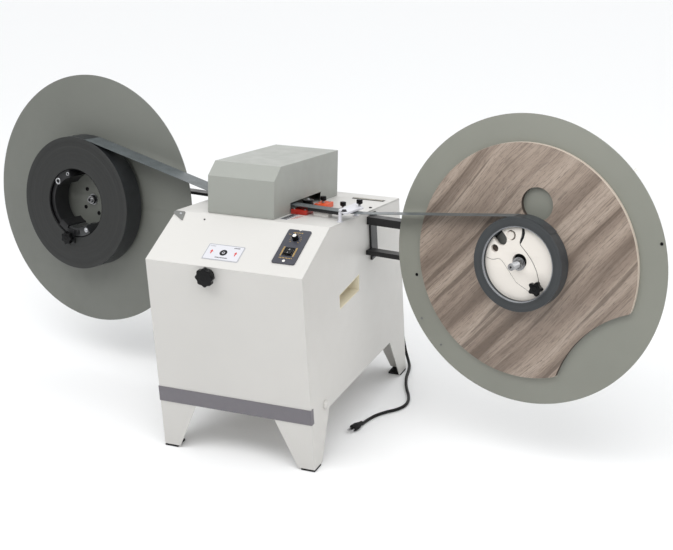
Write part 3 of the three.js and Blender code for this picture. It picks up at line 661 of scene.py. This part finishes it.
def power_cord():
    path = [CABINET @ (p * MM) for p in smooth_path(CORD, 8)]
    curve = bpy.data.curves.new("power_cord_line", "CURVE")
    curve.dimensions = "3D"
    line = curve.splines.new("POLY")
    line.points.add(len(path) - 1)
    for point, p in zip(line.points, path):
        point.co = (*p, 1)
    curve.bevel_depth = CORD_WIDTH / 2 * MM
    curve.bevel_resolution = 4
    curve.use_fill_caps = True
    curve.materials.append(CABLE)
    cable = bpy.data.objects.new("power_cable", curve)
    scene.collection.objects.link(cable)
    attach(cable, "machine")
    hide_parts("power_cord")

    outlet = axes(CABINET @ (Vector(GLAND) * MM), X, Z, -Y) @ turn(180, "X")
    gland = Piece("cable_gland", outlet, "machine", BLACK_PLASTIC_AND_SHADE)
    gland.prism(circle(14, 6), 0.5, 7, 0.8)
    gland.lathe([(9.6, -8), (9.6, 0.5), (12.6, 0.5), (12.6, 9), (11.6, 11), (10, 14), (7, 17),
                 (6.2, 24), (5.0, 24), (5.0, -8)], 32)
    gland.done("cord_gland")

    plug_axis_z = 0.0104
    end, ahead = path[-1], Vector((-0.25, -0.97, 0)).normalized()
    place = axes((end.x, end.y, plug_axis_z), ahead.cross(Z) * -1, Z, ahead)
    plug = Piece("mains_plug", place, "machine", RUBBER, STEEL)
    rows = [(0, 7.0), (8, 7.6), (16, 10.4), (24, 12.8), (34, 13.8), (42, 13.6), (44, 12.4)]
    plug.lathe([(0, 0.3)] + [(r, z + 0.3) for z, r in rows] + [(0, 44.3)], 32, 0,
               Matrix.Diagonal((1, 0.72, 1, 1)), closed=False)
    for x in (-6, 6):
        plug.block((x - 2, -2, 43), (x + 2, 2, 62), 0.5, 1)
    made = plug.done("cord_plug")


# ---- cabinet -------------------------------------------------------------------

def cabinet():
    dress("wrap_panel", WHITE, 2.2, 18, 3)
    for node in ("left_side_panel", "right_side_panel", "rear_panel", "floor_pan"):
        dress(node, WHITE, 0.8)
    dress("chute_tray", TRAY, 0.5)
    dress("front_stripe", STRIPE, 0.3)
    for node in ("foot_front_left", "foot_front_right", "foot_rear_left", "foot_rear_right"):
        dress(node, RUBBER, 1.4, segments=3)

    cap = Piece("side_cap_dome", SIDE @ shift(-254, 172, 0), "machine", WHITE)
    cap.lathe([(0, 0.4), (14, 0.4), (14, 2.2), (13.2, 5.0), (11.6, 7.6), (9.2, 9.0), (5, 9.3),
               (0, 9.3)], 40, closed=False)
    cap.done("side_cap")

    # screws of the rear panel and of the arm plates
    rear = axes((mid_x, wrap_hi.y - 0.002, 0), -X, Z, Y)
    screws = Piece("rear_panel_screws", rear, "machine", STEEL)
    for x in (-232, 232):
        for y in (180, 330, 480, 560):
            screws.screw(x, y, 0, 4.2, 2.6)
    screws.done()
    for side, sign in (("right", 1), ("left", -1)):
        plane = SIDE if sign > 0 else axes((wrap_lo.x, mid_y, 0), -Y, Z, -X)
        bolts = Piece(side + "_arm_bolts", plane, "machine", DARK_STEEL)
        for y in (118, 146):
            for z in (492, 606):
                bolts.hex(sign * y, z, 6.3, 6.0, 4.5)
        bolts.done()


# ---- operating panel -------------------------------------------------------------

def label():
    place = SLOPE @ shift(-22.5, 60, 0.3)
    sheet = Piece("feed_label", place, "machine", FOIL, BORDER_GREY_AND_HIGHLIGHT, INK_AND_SHADE, RED_INK)
    sheet.plate(rounded(115, 62, 3.5), [], 0, 0.7, 0.15)
    sheet.plate(rounded(113.4, 60.4, 3.0), [rounded(109.4, 56.4, 2.2)], 0.7, 0.82, 0.04, 1)
    sheet.plate(circle(11.5, 40), [circle(5.0, 5, start=0.6)], 0.7, 0.84, 0.04, 2)
    sheet.plate(circle(2.6, 20), [], 0.7, 0.84, 0.04, 2)
    for x in (-38, 38):
        sheet.plate([(-1.7, -8), (1.7, -8), (1.7, 0), (5.0, 0), (0, 8.5), (-5.0, 0), (-1.7, 0)],
                    [], 0.7, 0.84, 0.03, 3, shift(x, 0, 0))
    for cx, cy, count, step, look in ((-42, 22, 4, 4.6, 1), (34, 22, 6, 3.2, 2),
                                      (0, -20, 9, 4.4, 2)):
        for i in range(count):
            x = cx + (i - (count - 1) / 2) * step
            w = step * (0.32 + 0.06 * (i % 3))
            sheet.plate(rounded(w * 2, 3.6, 0.3, x, cy), [rounded(w, 1.2, 0.2, x, cy)],
                        0.7, 0.84, 0.03, look)
    sheet.done("label_plate", weld=False)


def control_panel():
    place = SLOPE @ shift(168.5, 113, 0.3)
    w, h = 71, 135
    plate = Piece("control_facia", place, "machine", FACIA, GOLD, STEEL, BLACK_PLASTIC_AND_SHADE, IVORY_AND_HIGHLIGHT)
    outline = rounded(w, h, 6)
    notch = [(x, y + h / 2) for x, y in arc(3.6, -180, 0, 8)]
    top = [i for i, (x, y) in enumerate(outline) if y > h / 2 - 0.01 and x < 0][0]
    outline = outline[:top] + notch[::-1] + outline[top:]
    window = [(x, y - 21) for x, y in rounded(26, 28, 1.5)]
    plate.plate(outline, [window, circle(4.0, 24, 0, 30)], 0, 3.4, 0.5)
    # bezel of the rocker, fine gold frame lines, scale ticks
    plate.plate([(x, y - 21) for x, y in rounded(30.5, 32.5, 2.5)], [window], 3.3, 4.4, 0.4, 3)
    for x in (-20.5, -18.0, 18.0, 20.5):
        plate.block((x - 0.55, -39, 3.4), (x + 0.55, -3, 3.6), 0.03, 1)
    for i in range(11):
        angle = 225 - 27 * i
        long = 4.6 if i % 5 == 0 else 3.0
        plate.block((14.5, -0.45, 3.4), (14.5 + long, 0.45, 3.6), 0.03, 1,
                    shift(0, 30, 0) @ turn(angle))
    for x0, y0, count, step, size in ((-2, 55, 6, 5.2, 1.6), (0, -46, 9, 4.6, 1.5),
                                      (-24, 47, 2, 4.2, 1.3)):
        for i in range(count):
            x = x0 + (i - (count - 1) / 2) * step
            plate.plate(rounded(size * 1.7, size * (1.5 + 0.4 * (i % 2)), 0.5, x, y0),
                        [rounded(size * 0.7, size * 0.6, 0.2, x, y0)], 3.4, 3.58, 0.03, 1)
    plate.screw(0, -58, 3.4, 4.2, 1.6, 4)
    plate.done("control_plate", weld=False)

    knob = Piece("speed_dial", place @ shift(0, 30, 0), "speed_knob", BLACK_PLASTIC_AND_SHADE, IVORY_AND_HIGHLIGHT, GOLD)
    knob.prism(lobes(14, 8.9, 8.3, 6), 4.6, 15, 0.25)
    knob.lathe([(0, 15), (7.9, 15), (7.7, 16.8), (6.9, 17.8), (0, 18.1)], 36, closed=False)
    knob.lathe([(0, 3.9), (8.9, 3.9), (8.9, 4.7), (0, 4.7)], 36, closed=False)
    knob.lathe([(0, 1.8), (3.3, 1.8), (3.3, 4.4), (0, 4.4)], 20, closed=False)
    knob.block((-0.9, 1.0, 17.5), (0.9, 8.4, 18.5), 0.2, 2)
    # ivory disc on the dial's top: painted highlight
    knob.lathe([(0, 18.0), (5.8, 18.0), (5.4, 18.5), (0, 18.6)], 28, 1, closed=False)
    knob.done("speed_knob")

    cross = axes(place @ Vector((0, -0.021, 0.0006)), SLOPE_DEEP, SLOPE_UP, X)
    paddle = Piece("rocker_paddle", cross, "rocker", BLACK_PLASTIC_AND_SHADE, IVORY_AND_HIGHLIGHT)
    curve = [(-12.2, 2.2), (12.2, 2.2), (12.3, 4.4), (10, 4.6), (5, 5.2), (0, 6.1), (-5, 7.0),
             (-10, 7.8), (-12.3, 8.1)]
    paddle.prism(fillet(curve, 0.6, 2), -11.3, 11.3, 0.5)
    paddle.block((-8.6, 7.4, -0.5), (-5.6, 7.9, 0.5), 0.1, 1)
    paddle.plate(circle(2.0, 20), [circle(1.3, 18)], 5.0, 5.5, 0.05, 1,
                 shift(7.4, 0, 0) @ turn(-90, "X"))
    paddle.done("rocker_switch")


# ---- hand knobs -------------------------------------------------------------------

def star(name, node, place, body, count, outer, inner, z0, z1, hub_r, hub_lo):
    """Star grip from z0 to z1 on a hub that starts at hub_lo."""
    knob = Piece(name, place, body, BLACK_PLASTIC_AND_SHADE, STEEL)
    knob.prism(lobes(count, outer, inner), z0, z1, 2.2, steps=4)
    knob.lathe([(0, hub_lo), (hub_r, hub_lo), (hub_r * 1.12, z0 - 1), (hub_r * 1.3, z0 + 2),
                (0, z0 + 2)], 36, closed=False)
    knob.lathe([(0, z1 - 2.2), (outer * 0.22, z1 - 2.2), (outer * 0.25, z1 + 0.2),
                (outer * 0.36, z1 + 0.6), (outer * 0.52, z1 - 0.5)], 36, closed=False)
    knob.lathe([(0, z1 - 1.8), (outer * 0.15, z1 - 1.8), (outer * 0.15, z1 - 2.4)], 16, 1,
               closed=False)
    knob.done(node)


def small_knob(name, node, place, body):
    """Knurled clamping knob on a short screw."""
    knob = Piece(name, place, body, BLACK_PLASTIC_AND_SHADE, STEEL)
    knob.prism(lobes(16, 9, 8.3, 6), 8, 18.6, 0.3)
    knob.lathe([(0, 18.6), (8.2, 18.6), (7.4, 19.7), (5.6, 20.0), (2.4, 20.0), (2.2, 19.2),
                (0, 19.2)], 32, closed=False)
    knob.lathe([(0, 6.6), (6.4, 6.6), (7.6, 8.2), (0, 8.2)], 32, closed=False)
    thread = [(3.9 if i % 2 else 3.3, 0.2 + i * 0.7) for i in range(10)]
    knob.lathe([(0, 0.1)] + thread + [(0, 6.8)], 20, 1, closed=False)
    knob.done(node)


def front_knob():
    place = FRONT @ shift(-45, 578, 0)
    star("front_star_grip", "front_star_knob", place, "width_screw", 8, 28, 24.4, 12.4, 29.2,
         13, 6.2)
    dress("width_spindle", TURNED, 0)
    collar = Piece("spindle_collar", place, "machine", BLACK_PLASTIC_AND_SHADE)
    collar.lathe([(13.2, 0.2), (19, 0.2), (19, 1.8), (17.6, 2.8), (13.2, 2.8)], 40)
    collar.done()


# ---- head and deck ------------------------------------------------------------------

def head():
    dress("head_cover", TOPCOAT, 2.4, 18, 3)
    dress("cover_hinge", STEEL, 0.4)
    for node in ("head_cheek_front", "head_cheek_rear", "knife_carriage"):
        dress(node, ALLOY, 0.8)
    for node in ("feed_roller", "pressure_roller"):
        dress(node, RUBBER, 0.5)
    for node in ("feed_pulley", "motor_pulley"):
        dress(node, ALLOY, 0.3)
    dress("drive_belt", RUBBER, 0.3)
    dress("slitting_knife", STEEL, 0.2)
    dress("motor_bracket", STEEL, 0.8)
    dress("drive_motor", MOTOR, 1.2)


def deck():
    base = Piece("outfeed_shoe", DECK, "machine", RED, BLACK_PLASTIC_AND_SHADE, STEEL)
    base.block((67, 118, 0.3), (118, 166, 14), 1.4)
    base.block((67.2, 160, 0.3), (100, 206, 13.8), 1.4)
    base.lathe([(0, 13), (8, 13), (8, 16.2), (16.2, 16.2), (17, 17), (17, 19.4), (15, 20.4),
                (15, 26.6), (17, 27.6), (17, 30), (16.2, 31), (0, 31)], 44, 1,
               shift(84, 199, 0), closed=False)
    base.hex(84, 199, 30.8, 5.0, 4.0, 2)
    for x, y in ((75, 127), (109, 127), (109, 157)):
        base.screw(x, y, 13.6, 3.4, 2.4, 2)
    base.done("outfeed_base")

    block = Piece("side_guide", DECK, "guide", ORANGE, STEEL)
    block.block((92, 222, 0.3), (128, 284, 15), 1.6)
    for x, y in ((101, 231), (119, 275)):
        block.screw(x, y, 14.6, 3.4, 1.8, 1)
    block.done("guide_block")
    small_knob("guide_grip", "guide_knob", DECK @ shift(110, 250, 15.3), "guide_knob")
    small_knob("deck_grip", "deck_knob", DECK @ shift(164, 273, 0.3), "deck_knob")
    small_knob("bridge_grip", "bridge_knob", DECK @ shift(262, 170, 33.8), "bridge_knob")
    rail = Piece("tape_rail", LINE, "machine", BLACK_COAT, WHITE, STEEL)
    rail.block((166, -4, 14), (282, 32, 23.7), 1.2)
    rail.block((182, 4, 0.3), (232, 26, 14.4), 1.0, 1)
    rail.screw(196, 14, 20.9, 3.4, 2.7, 2)
    rail.done("outfeed_rail")

    bridge = Piece("tape_bridge", DECK, "machine", FOIL, DARK_STEEL)
    bridge.plate(fillet([(228, 96), (268, 54), (278, 166), (230, 218)], 5), [], 27.5, 33.5, 0.7)
    for x, y in ((240, 84), (241, 192)):
        bridge.lathe([(0, 0.4), (9, 0.4), (9, 2), (5, 2.6), (5, 27.7), (0, 27.7)], 28, 0,
                     shift(x, y, 0), closed=False)
    bridge.hex(255, 78, 33.3, 7.0, 5.6, 1)
    bridge.done("hold_down_bridge")

    # slot strip at the rear, scale by the tape, and the deck's screws
    strip = Piece("rear_slot_strip", DECK, "machine", BLACK_COAT, TRAY)
    strip.block((124, 428, 0.2), (228, 445, 1.6), 0.4)
    strip.block((128, 434, 1.5), (224, 436.5, 1.9), 0.1, 1)
    strip.done()
    scale = Piece("width_scale", DECK, "machine", FOIL, INK_AND_SHADE, RED_INK)
    scale.block((72, 34, 0.2), (96, 116, 0.6), 0.12)
    for i in range(11):
        long, thick = (21, 3.2) if i % 2 == 0 else (14, 2.0)
        y = 40 + i * 7.0
        scale.block((74, y - thick, 0.6), (74 + long, y + thick, 0.8), 0.02, 1)
    for i in range(3):
        scale.block((101 + 5 * i, 50 + 8 * i, 0.2), (102.4 + 5 * i, 96 + 6 * i, 0.4), 0.02, 2)
    scale.done(weld=False)
    screws = Piece("deck_screws", DECK, "machine", DARK_STEEL)
    screws.screw(233, 319, 0.1, 4.6, 2.8)
    screws.screw(-141, 182, 0.1, 2.8, 1.4, 0, DECK.inverted() @ SLOPE)
    screws.done()
    bracket = Piece("corner_bracket", SLOPE, "machine", HOUSING, STEEL)
    bracket.prism(fillet([(-250, 193), (-207, 166), (-214, 203), (-246, 203)], 3), 0.2, 3.0, 0.5)
    bracket.screw(-224, 192, 3.0, 3.6, 2.0, 1)
    bracket.done()


# ---- reels -----------------------------------------------------------------------------

def faces_by(piece, test, look):
    """Gives a look to the faces whose normal and middle (in mm) pass the test."""
    piece.bm.normal_update()
    for f in piece.bm.faces:
        if test(f.normal, f.calc_center_median() / MM):
            f.material_index = look


def reel_disc(name, node, place, body, look, plugs):
    """Sheet disc with rivets and sockets: rows of x, y, radius and look."""
    disc = Piece(name, place, body, look, BLACK_PLASTIC_AND_SHADE, IVORY_AND_HIGHLIGHT, HOUSING)
    disc.plate(circle(DISC_R, 200), [circle(SHAFT_BORE, 32)], DISC_BACK, DISC_FACE, 1.0)
    for x, y, r, kind in plugs:
        disc.lathe([(0, -52.2), (r, -52.2), (r, -51.0), (r * 0.85, -50.5), (r * 0.5, -50.5),
                    (r * 0.46, -51.6), (0, -51.6)], 24, kind, shift(x, y, 0), closed=False)
    disc.done(node)


def threaded(lo, hi, r):
    """Profile rows of a screw thread, root and crest in turn."""
    rows = []
    z = lo
    while z < hi:
        rows.append((r if len(rows) % 2 else r - THREAD_DEPTH, z))
        z += THREAD_PITCH / 2
    return rows


def reel_shaft(name, node, place, body, front, bore):
    """Turned shaft with a flange, a thread and a centre bore in its front end; the bore's floor is
    painted black as shade.
    """
    shaft = Piece(name, place, body, TURNED, BLACK_PLASTIC_AND_SHADE)
    shaft.lathe([(0, -200), (12, -200), (12, -69.2), (19, -69.2), (20, -68), (20, -56.4),
                 (19, -55.4), (10, -55.3)] + threaded(-54.8, front - 2.4, 9.8)
                + [(9.6, front - 1.8), (8.2, front), (bore, front), (bore - 0.6, front - 1.6),
                   (0, front - 1.9)], 40, closed=False)
    # black disc on the floor of the centre bore: painted shade
    shaft.lathe([(0, front - 1.3), (bore - 0.3, front - 1.3)], 28, 1, closed=False)
    shaft.done(node)


def right_reel():
    body = "right_reel"
    reel_disc("take_up_disc", "right_disc", RIGHT, body, RIGHT_DISC,
              [(293, 281, 4.5, 2), (377, 98, 4.5, 1), (-338, -88, 4.5, 1),
               (-317, -213, 3.4, 3), (-252, -280, 3.4, 3)])
    reel_shaft("take_up_shaft", "right_shaft", RIGHT, body, 46, 3.2)

    board = Piece("decor_board", RIGHT, body, WOOD, CUT_EDGE, PAINTED_SHADE_BROWN)
    # round board with a round bite out of its lower right
    bite_x, bite_y, bite_r = 414, -400, 320
    outline = [(x, y) for x, y in circle(BOARD_R, 220)
               if math.hypot(x - bite_x, y - bite_y) > bite_r]
    start = max(range(len(outline)), key=lambda i: math.dist(outline[i], outline[i - 1]))
    outline = outline[start:] + outline[:start]
    ends = [math.degrees(math.atan2(y - bite_y, x - bite_x)) % 360
            for x, y in (outline[-1], outline[0])]
    outline += arc(bite_r, *ends, 40, bite_x, bite_y)[1:-1]
    board.plate(outline, [circle(46, 56, 29, 161), circle(24, 32)], BOARD_BACK, BOARD_FACE, 0.6)
    # side faces of the bite and the holes in dark brown, painted shade; the outer rim in the cream
    # edge colour
    faces_by(board, lambda n, p: abs(n.z) < 0.8, 2)
    faces_by(board, lambda n, p: abs(n.z) < 0.8 and math.hypot(p.x, p.y) > BOARD_R - 2, 1)
    board.done("wood_board")

    ring = Piece("take_up_tape", RIGHT, body, RING_SIDE, RING_FACE, BORDER_GREY_AND_HIGHLIGHT)
    ring.lathe([(RING_BORE, 6.4), (103.4, 7.8), (128.8, 7.8), (RING_R, 6.8), (RING_R, -35.4),
                (129.4, -36), (RING_BORE, -36)], 144)
    faces_by(ring, lambda n, p: abs(n.z) < 0.6, 1)
    ring.prism(ribbon(arc(131.6, 46, 88, 30), BAND), -35.5, 7.6, 0.0, 1)
    # lighter grey lip round the bore: painted highlight on the ring's inner bevel
    ring.lathe([(101.9, 3.4), (101.9, 6.6), (104.2, 8.2), (104.6, 7.9), (102.3, 6.2),
                (102.3, 3.4)], 144, 2)
    ring.done("takeup_ring")

    hub = Piece("hub_disc", RIGHT, body, CREAM, HOUSING, INK_AND_SHADE, PAINTED_SHADE_BROWN)
    hole = circle(11, 28, -74.5, 33)
    boss = circle(14, 32, -27.5, 75)
    centre = circle(21, 40, 1, 7)
    # keyhole slot in from the rim: its direction, half its width, and where its end's arc centres
    deg, half, depth = 133, 16.5, 82
    inner = Vector((math.cos(math.radians(deg)), math.sin(math.radians(deg)))) * depth
    cut = math.degrees(math.asin(half / HUB_R))
    rim = arc(HUB_R, deg + cut, deg - cut + 360, 120)
    rim += arc(half, deg - 90, deg - 270, 16, inner.x, inner.y)
    hub.plate(rim, [hole, boss, centre], -18, -6.2, 0.6)
    # keyhole sector plate that the star knob clamps, with a dark line along its joint: painted
    # shade in the gap
    joint = fillet([(-98, 6), (-80, 1), (-64, 6.5), (-55, 6), (-44, -5), (-18.3, -36.2), (-5, -52),
                    (8, -58), (24, -66), (44, -78), (60, -68), (62, -50), (56, -28), (52, -14),
                    (38.8, 10.4), (19, 33.7), (0, 52), (-1.5, 60), (2.0, 72), (4.6, 86),
                    (3.4, 98)], 9, 4, closed=False)
    edge = 98.2
    sector_outline = (joint + arc(edge, 90, deg - cut - 1.2, 14)[1:]
                      + arc(half + 0.6, deg - 90, deg - 270, 16, inner.x, inner.y)
                      + arc(edge, deg + cut + 1.2, 176, 14)[:-1])
    hub.plate(sector_outline, [hole, boss, centre], -6.3, -4.6, 0.45)
    # dark ribbon along the joint: painted shade
    hub.plate(ribbon(joint, 2.6), [], -6.25, -5.95, 0.05, 2)
    # dark crescent sheet beside the upper joint: painted shade in the slot
    gap = [(4.5, 98.6), (10.5, 97.5), (13.0, 86), (10, 72), (5.0, 61), (0.6, 53.5), (-0.4, 56),
           (1.2, 64), (4.8, 76), (5.8, 88)]
    hub.plate(fillet(gap, 2), [], -6.25, -5.95, 0.05, 2)
    hub.lathe([(22, -30), (99, -30), (99, -26), (22, -26)], 72, 1)
    hub.lathe([(10.6, -37), (60, -37), (60, -19), (32, -19), (32, -20.5), (10.6, -20.5)], 48, 2)
    # dark brown floor under the round hole: painted shade in the hole
    hub.lathe([(0, -30), (12, -30), (12, -17), (0, -17)], 28, 3, shift(-74.5, 33, 0),
              closed=False)
    hub.lathe([(0, -16), (11.4, -16), (11.4, -8.6), (10.8, -8), (0, -8)], 32, 0,
              shift(-31.5, 73, 0), closed=False)
    hub.done("hub_plate")

    nut = Piece("hub_hex_nut", RIGHT, body, TURNED)
    nut.lathe([(10.4, -5.5), (18.4, -5.5), (18.4, -3.4), (10.4, -3.4)], 48)
    nut.lathe([(10.4, -3.2), (15.8, -3.2), (15.8, -0.6), (10.4, -0.6)], 48)
    nut.plate(circle(14.2, 6), [circle(10.4, 28)], -0.4, 6.8, 0.9)
    nut.done("hub_nut")
    star("take_up_grip", "right_star_knob", RIGHT @ shift(62, -55, 0), "right_knob", 5, 20.5, 14,
         9.2, 23.6, 7.6, -5.4)


def left_reel():
    body = "left_reel"
    reel_disc("pay_off_disc", "left_disc", LEFT, body, LEFT_DISC_SHADED,
              [(-26, 30, 6.6, 1), (-33, -29, 6.6, 1), (22, -43, 6.6, 1)])
    reel_shaft("pay_off_shaft", "left_shaft", LEFT, body, -31, 6.0)

    roll = Piece("tape_coil", LEFT, body, TAPE_SIDE, ROLL_FACE, BLACK_PLASTIC_AND_SHADE)
    # the face is a little uneven, and two turns stand proud of it
    face = []
    first, last, rows = 111.4, 211.2, 27
    for i in range(rows):
        r = first + i * (last - first) / (rows - 1)
        face.append((r, 35.7 + 0.15 * math.sin(i * 2.4) + (0.25 if i in (9, 19) else 0)))
    roll.lathe([(ROLL_BORE, 35.4)] + face + [(ROLL_R, 35.0), (ROLL_R, -35.4), (211.4, -36),
                                             (ROLL_BORE, -36)], 180)
    faces_by(roll, lambda n, p: abs(n.z) < 0.6, 1)
    roll.lathe([(108, 33.4), (108.6, 34.0), (110.4, 34.0), (ROLL_BORE, 33.4), (ROLL_BORE, -36),
                (108, -36)], 120, 2)
    roll.done("tape_roll")

    arm = Piece("clamp_bow", LEFT, body, BLACK_COAT, STEEL, INK_AND_SHADE)
    arm.prism(sector(93, JAW_R, 110, 246, 40), -36, 28, 1.2)
    arm.prism(fillet(sector(84, JAW_R, 104, 144, 14), 3), -51.6, 33.6, 1.2)
    arm.prism(fillet(sector(84, JAW_R, 226, 246, 10), 3), -51.6, 32, 1.2)
    for t, r, size in ((139, 96, 1.2), (109, 96, 0.7)):
        x, y = r * math.cos(math.radians(t)), r * math.sin(math.radians(t))
        arm.lathe([(5.4 * size, 33), (8.4 * size, 33), (8.4 * size, 35.4), (7.6 * size, 36),
                   (6 * size, 36), (5.4 * size, 35.4)], 32, 1, shift(x, y, 0))
        arm.screw(x, y, 31.8, 4.8 * size, 3, 2)
    arm.done("left_clamp_arm")

    jaw = Piece("clamp_jaw", LEFT, "left_jaw", DARK_COAT, STEEL, BLACK_COAT)
    jaw.prism(fillet(sector(80, JAW_R, 252, 304, 20), 3), -36, 36, 1.4)
    jaw.prism(fillet(sector(76, 100, 270, 299, 12), 2), -51.6, -34, 1.0)
    jaw.prism(fillet(sector(88, 132, 250, 269, 10), 4), 36.4, 41.8, 1.0, 2)
    for t, look in ((276, 2), (298, 1)):
        x, y = 93 * math.cos(math.radians(t)), 93 * math.sin(math.radians(t))
        jaw.lathe([(0, 35), (7.6, 35), (7.6, 37), (0, 37)], 28, look, shift(x, y, 0),
                  closed=False)
        jaw.screw(x, y, 37, 5.0, 3.6, look)
    jaw.done("left_jaw_block")

    nut = Piece("pay_off_nut", LEFT, body, INK_AND_SHADE, STEEL)
    nut.lathe([(10.4, -51.6), (17.6, -51.6), (17.6, -49.8), (10.4, -49.8)], 44, 1)
    nut.plate(circle(15.5, 6), [circle(10.4, 28)], -49.6, -40.4, 0.9)
    nut.lathe([(10.4, -40.4), (13.0, -40.4), (13.0, -39.2), (10.4, -39.2)], 36, 1)
    nut.done("left_nut")
    star("pay_off_grip", "left_star_knob", LEFT @ shift(-22, -113, 0), "left_knob", 7, 21.4, 17.4,
         46, 59.6, 8, 42.5)


def supports():
    for side, place in (("left", LEFT), ("right", RIGHT)):
        dress(side + "_arm_frame", BLACK_COAT, 1.4)
        dress(side + "_bearing_housing", HOUSING, 1.4)
        bolts = Piece(side + "_housing_bolts", place, "machine", DARK_STEEL)
        for x in (-30, 30):
            for y in (-25, 25):
                bolts.hex(x, y, -131.6, 5.6, 4.4)
        bolts.done()


# ---- tape ----------------------------------------------------------------------------------

def tangent(point, centre, r):
    """Where a line from the point touches the upper side of a circle."""
    away = math.copysign(1, centre[0] - point[0])
    dist = math.hypot(centre[0] - point[0], centre[1] - point[1])
    fall = math.atan2(point[1] - centre[1], abs(centre[0] - point[0]))
    rise = math.asin(r / dist) - fall
    return (centre[0] - away * r * math.sin(rise), centre[1] + r * math.cos(rise))


def tape():
    """Full width as far as the knife, slit width after it; x runs along the line."""
    left_axis, right_axis = (-700, -64), (842, -49)
    inlet, outlet = (-115, 24.6), (330, 24.6)
    knife_x, bend, stretch = 6, 22, 25
    lower, upper, slit = -34.8, 34.8, -6.8
    start = tangent(inlet, left_axis, ROLL_R + BAND)
    end = tangent(outlet, right_axis, RING_R + BAND)
    ends = [start, inlet, outlet, end]
    path = [start]
    for before, corner, after in zip(ends, ends[1:], ends[2:]):
        c, a, b = Vector(corner), Vector(before), Vector(after)
        first, last = c + (a - c).normalized() * bend, c + (b - c).normalized() * bend
        for i in range(9):
            t = i / 8
            path.append(tuple(first * (1 - t) ** 2 + c * 2 * t * (1 - t) + last * t * t))
    path.append(end)
    fine = []
    for p, q in zip(path, path[1:]):
        span = math.dist(p, q)
        steps = max(1, int(span / stretch))
        fine += [(p[0] + (q[0] - p[0]) * i / steps, p[1] + (q[1] - p[1]) * i / steps)
                 for i in range(steps)]
    fine.append(path[-1])
    split = next(i for i, p in enumerate(fine) if p[0] > knife_x)
    fine[split] = (knife_x, fine[split][1])
    web = Piece("edge_band", LINE, "machine", TAPE_FACE)
    for line, lo, hi in ((fine[:split + 1], lower, upper), (fine[split:], slit, upper)):
        rows = []
        for i, (a, c) in enumerate(line):
            ahead = Vector(line[min(i + 1, len(line) - 1)]) - Vector(line[max(i - 1, 0)])
            up = Vector((-ahead.y, ahead.x)).normalized() * 0.5
            row = []
            for side in (1, -1):
                for k in range(5):
                    b = lo + (hi - lo) * (k if side > 0 else 4 - k) / 4
                    row.append(web.bm.verts.new(((a + up.x * side) * MM, b * MM,
                                                 (c + up.y * side) * MM)))
            rows.append(row)
        for low, high in zip(rows, rows[1:]):
            for k in range(10):
                j = (k + 1) % 10
                web.bm.faces.new((low[k], low[j], high[j], high[k]))
        web.bm.faces.new(rows[0])
        web.bm.faces.new(rows[-1][::-1])
    web.done("tape_web", angle=40)


power_cord()
cabinet()
label()
control_panel()
front_knob()
head()
deck()
right_reel()
left_reel()
supports()
tape()

floor = bpy.data.meshes.new("floor")
floor.from_pydata([(-40, -40, 0), (40, -40, 0), (40, 40, 0), (-40, 40, 0)], [], [(0, 1, 2, 3)])
ground = Look("studio_floor")
ground.set(Base_Color=(0.92, 0.92, 0.92, 1), Roughness=0.9)
floor.materials.append(ground.mat)
floor_object = bpy.data.objects.new("floor", floor)
floor_object.location.z = -0.0005
scene.collection.objects.link(floor_object)
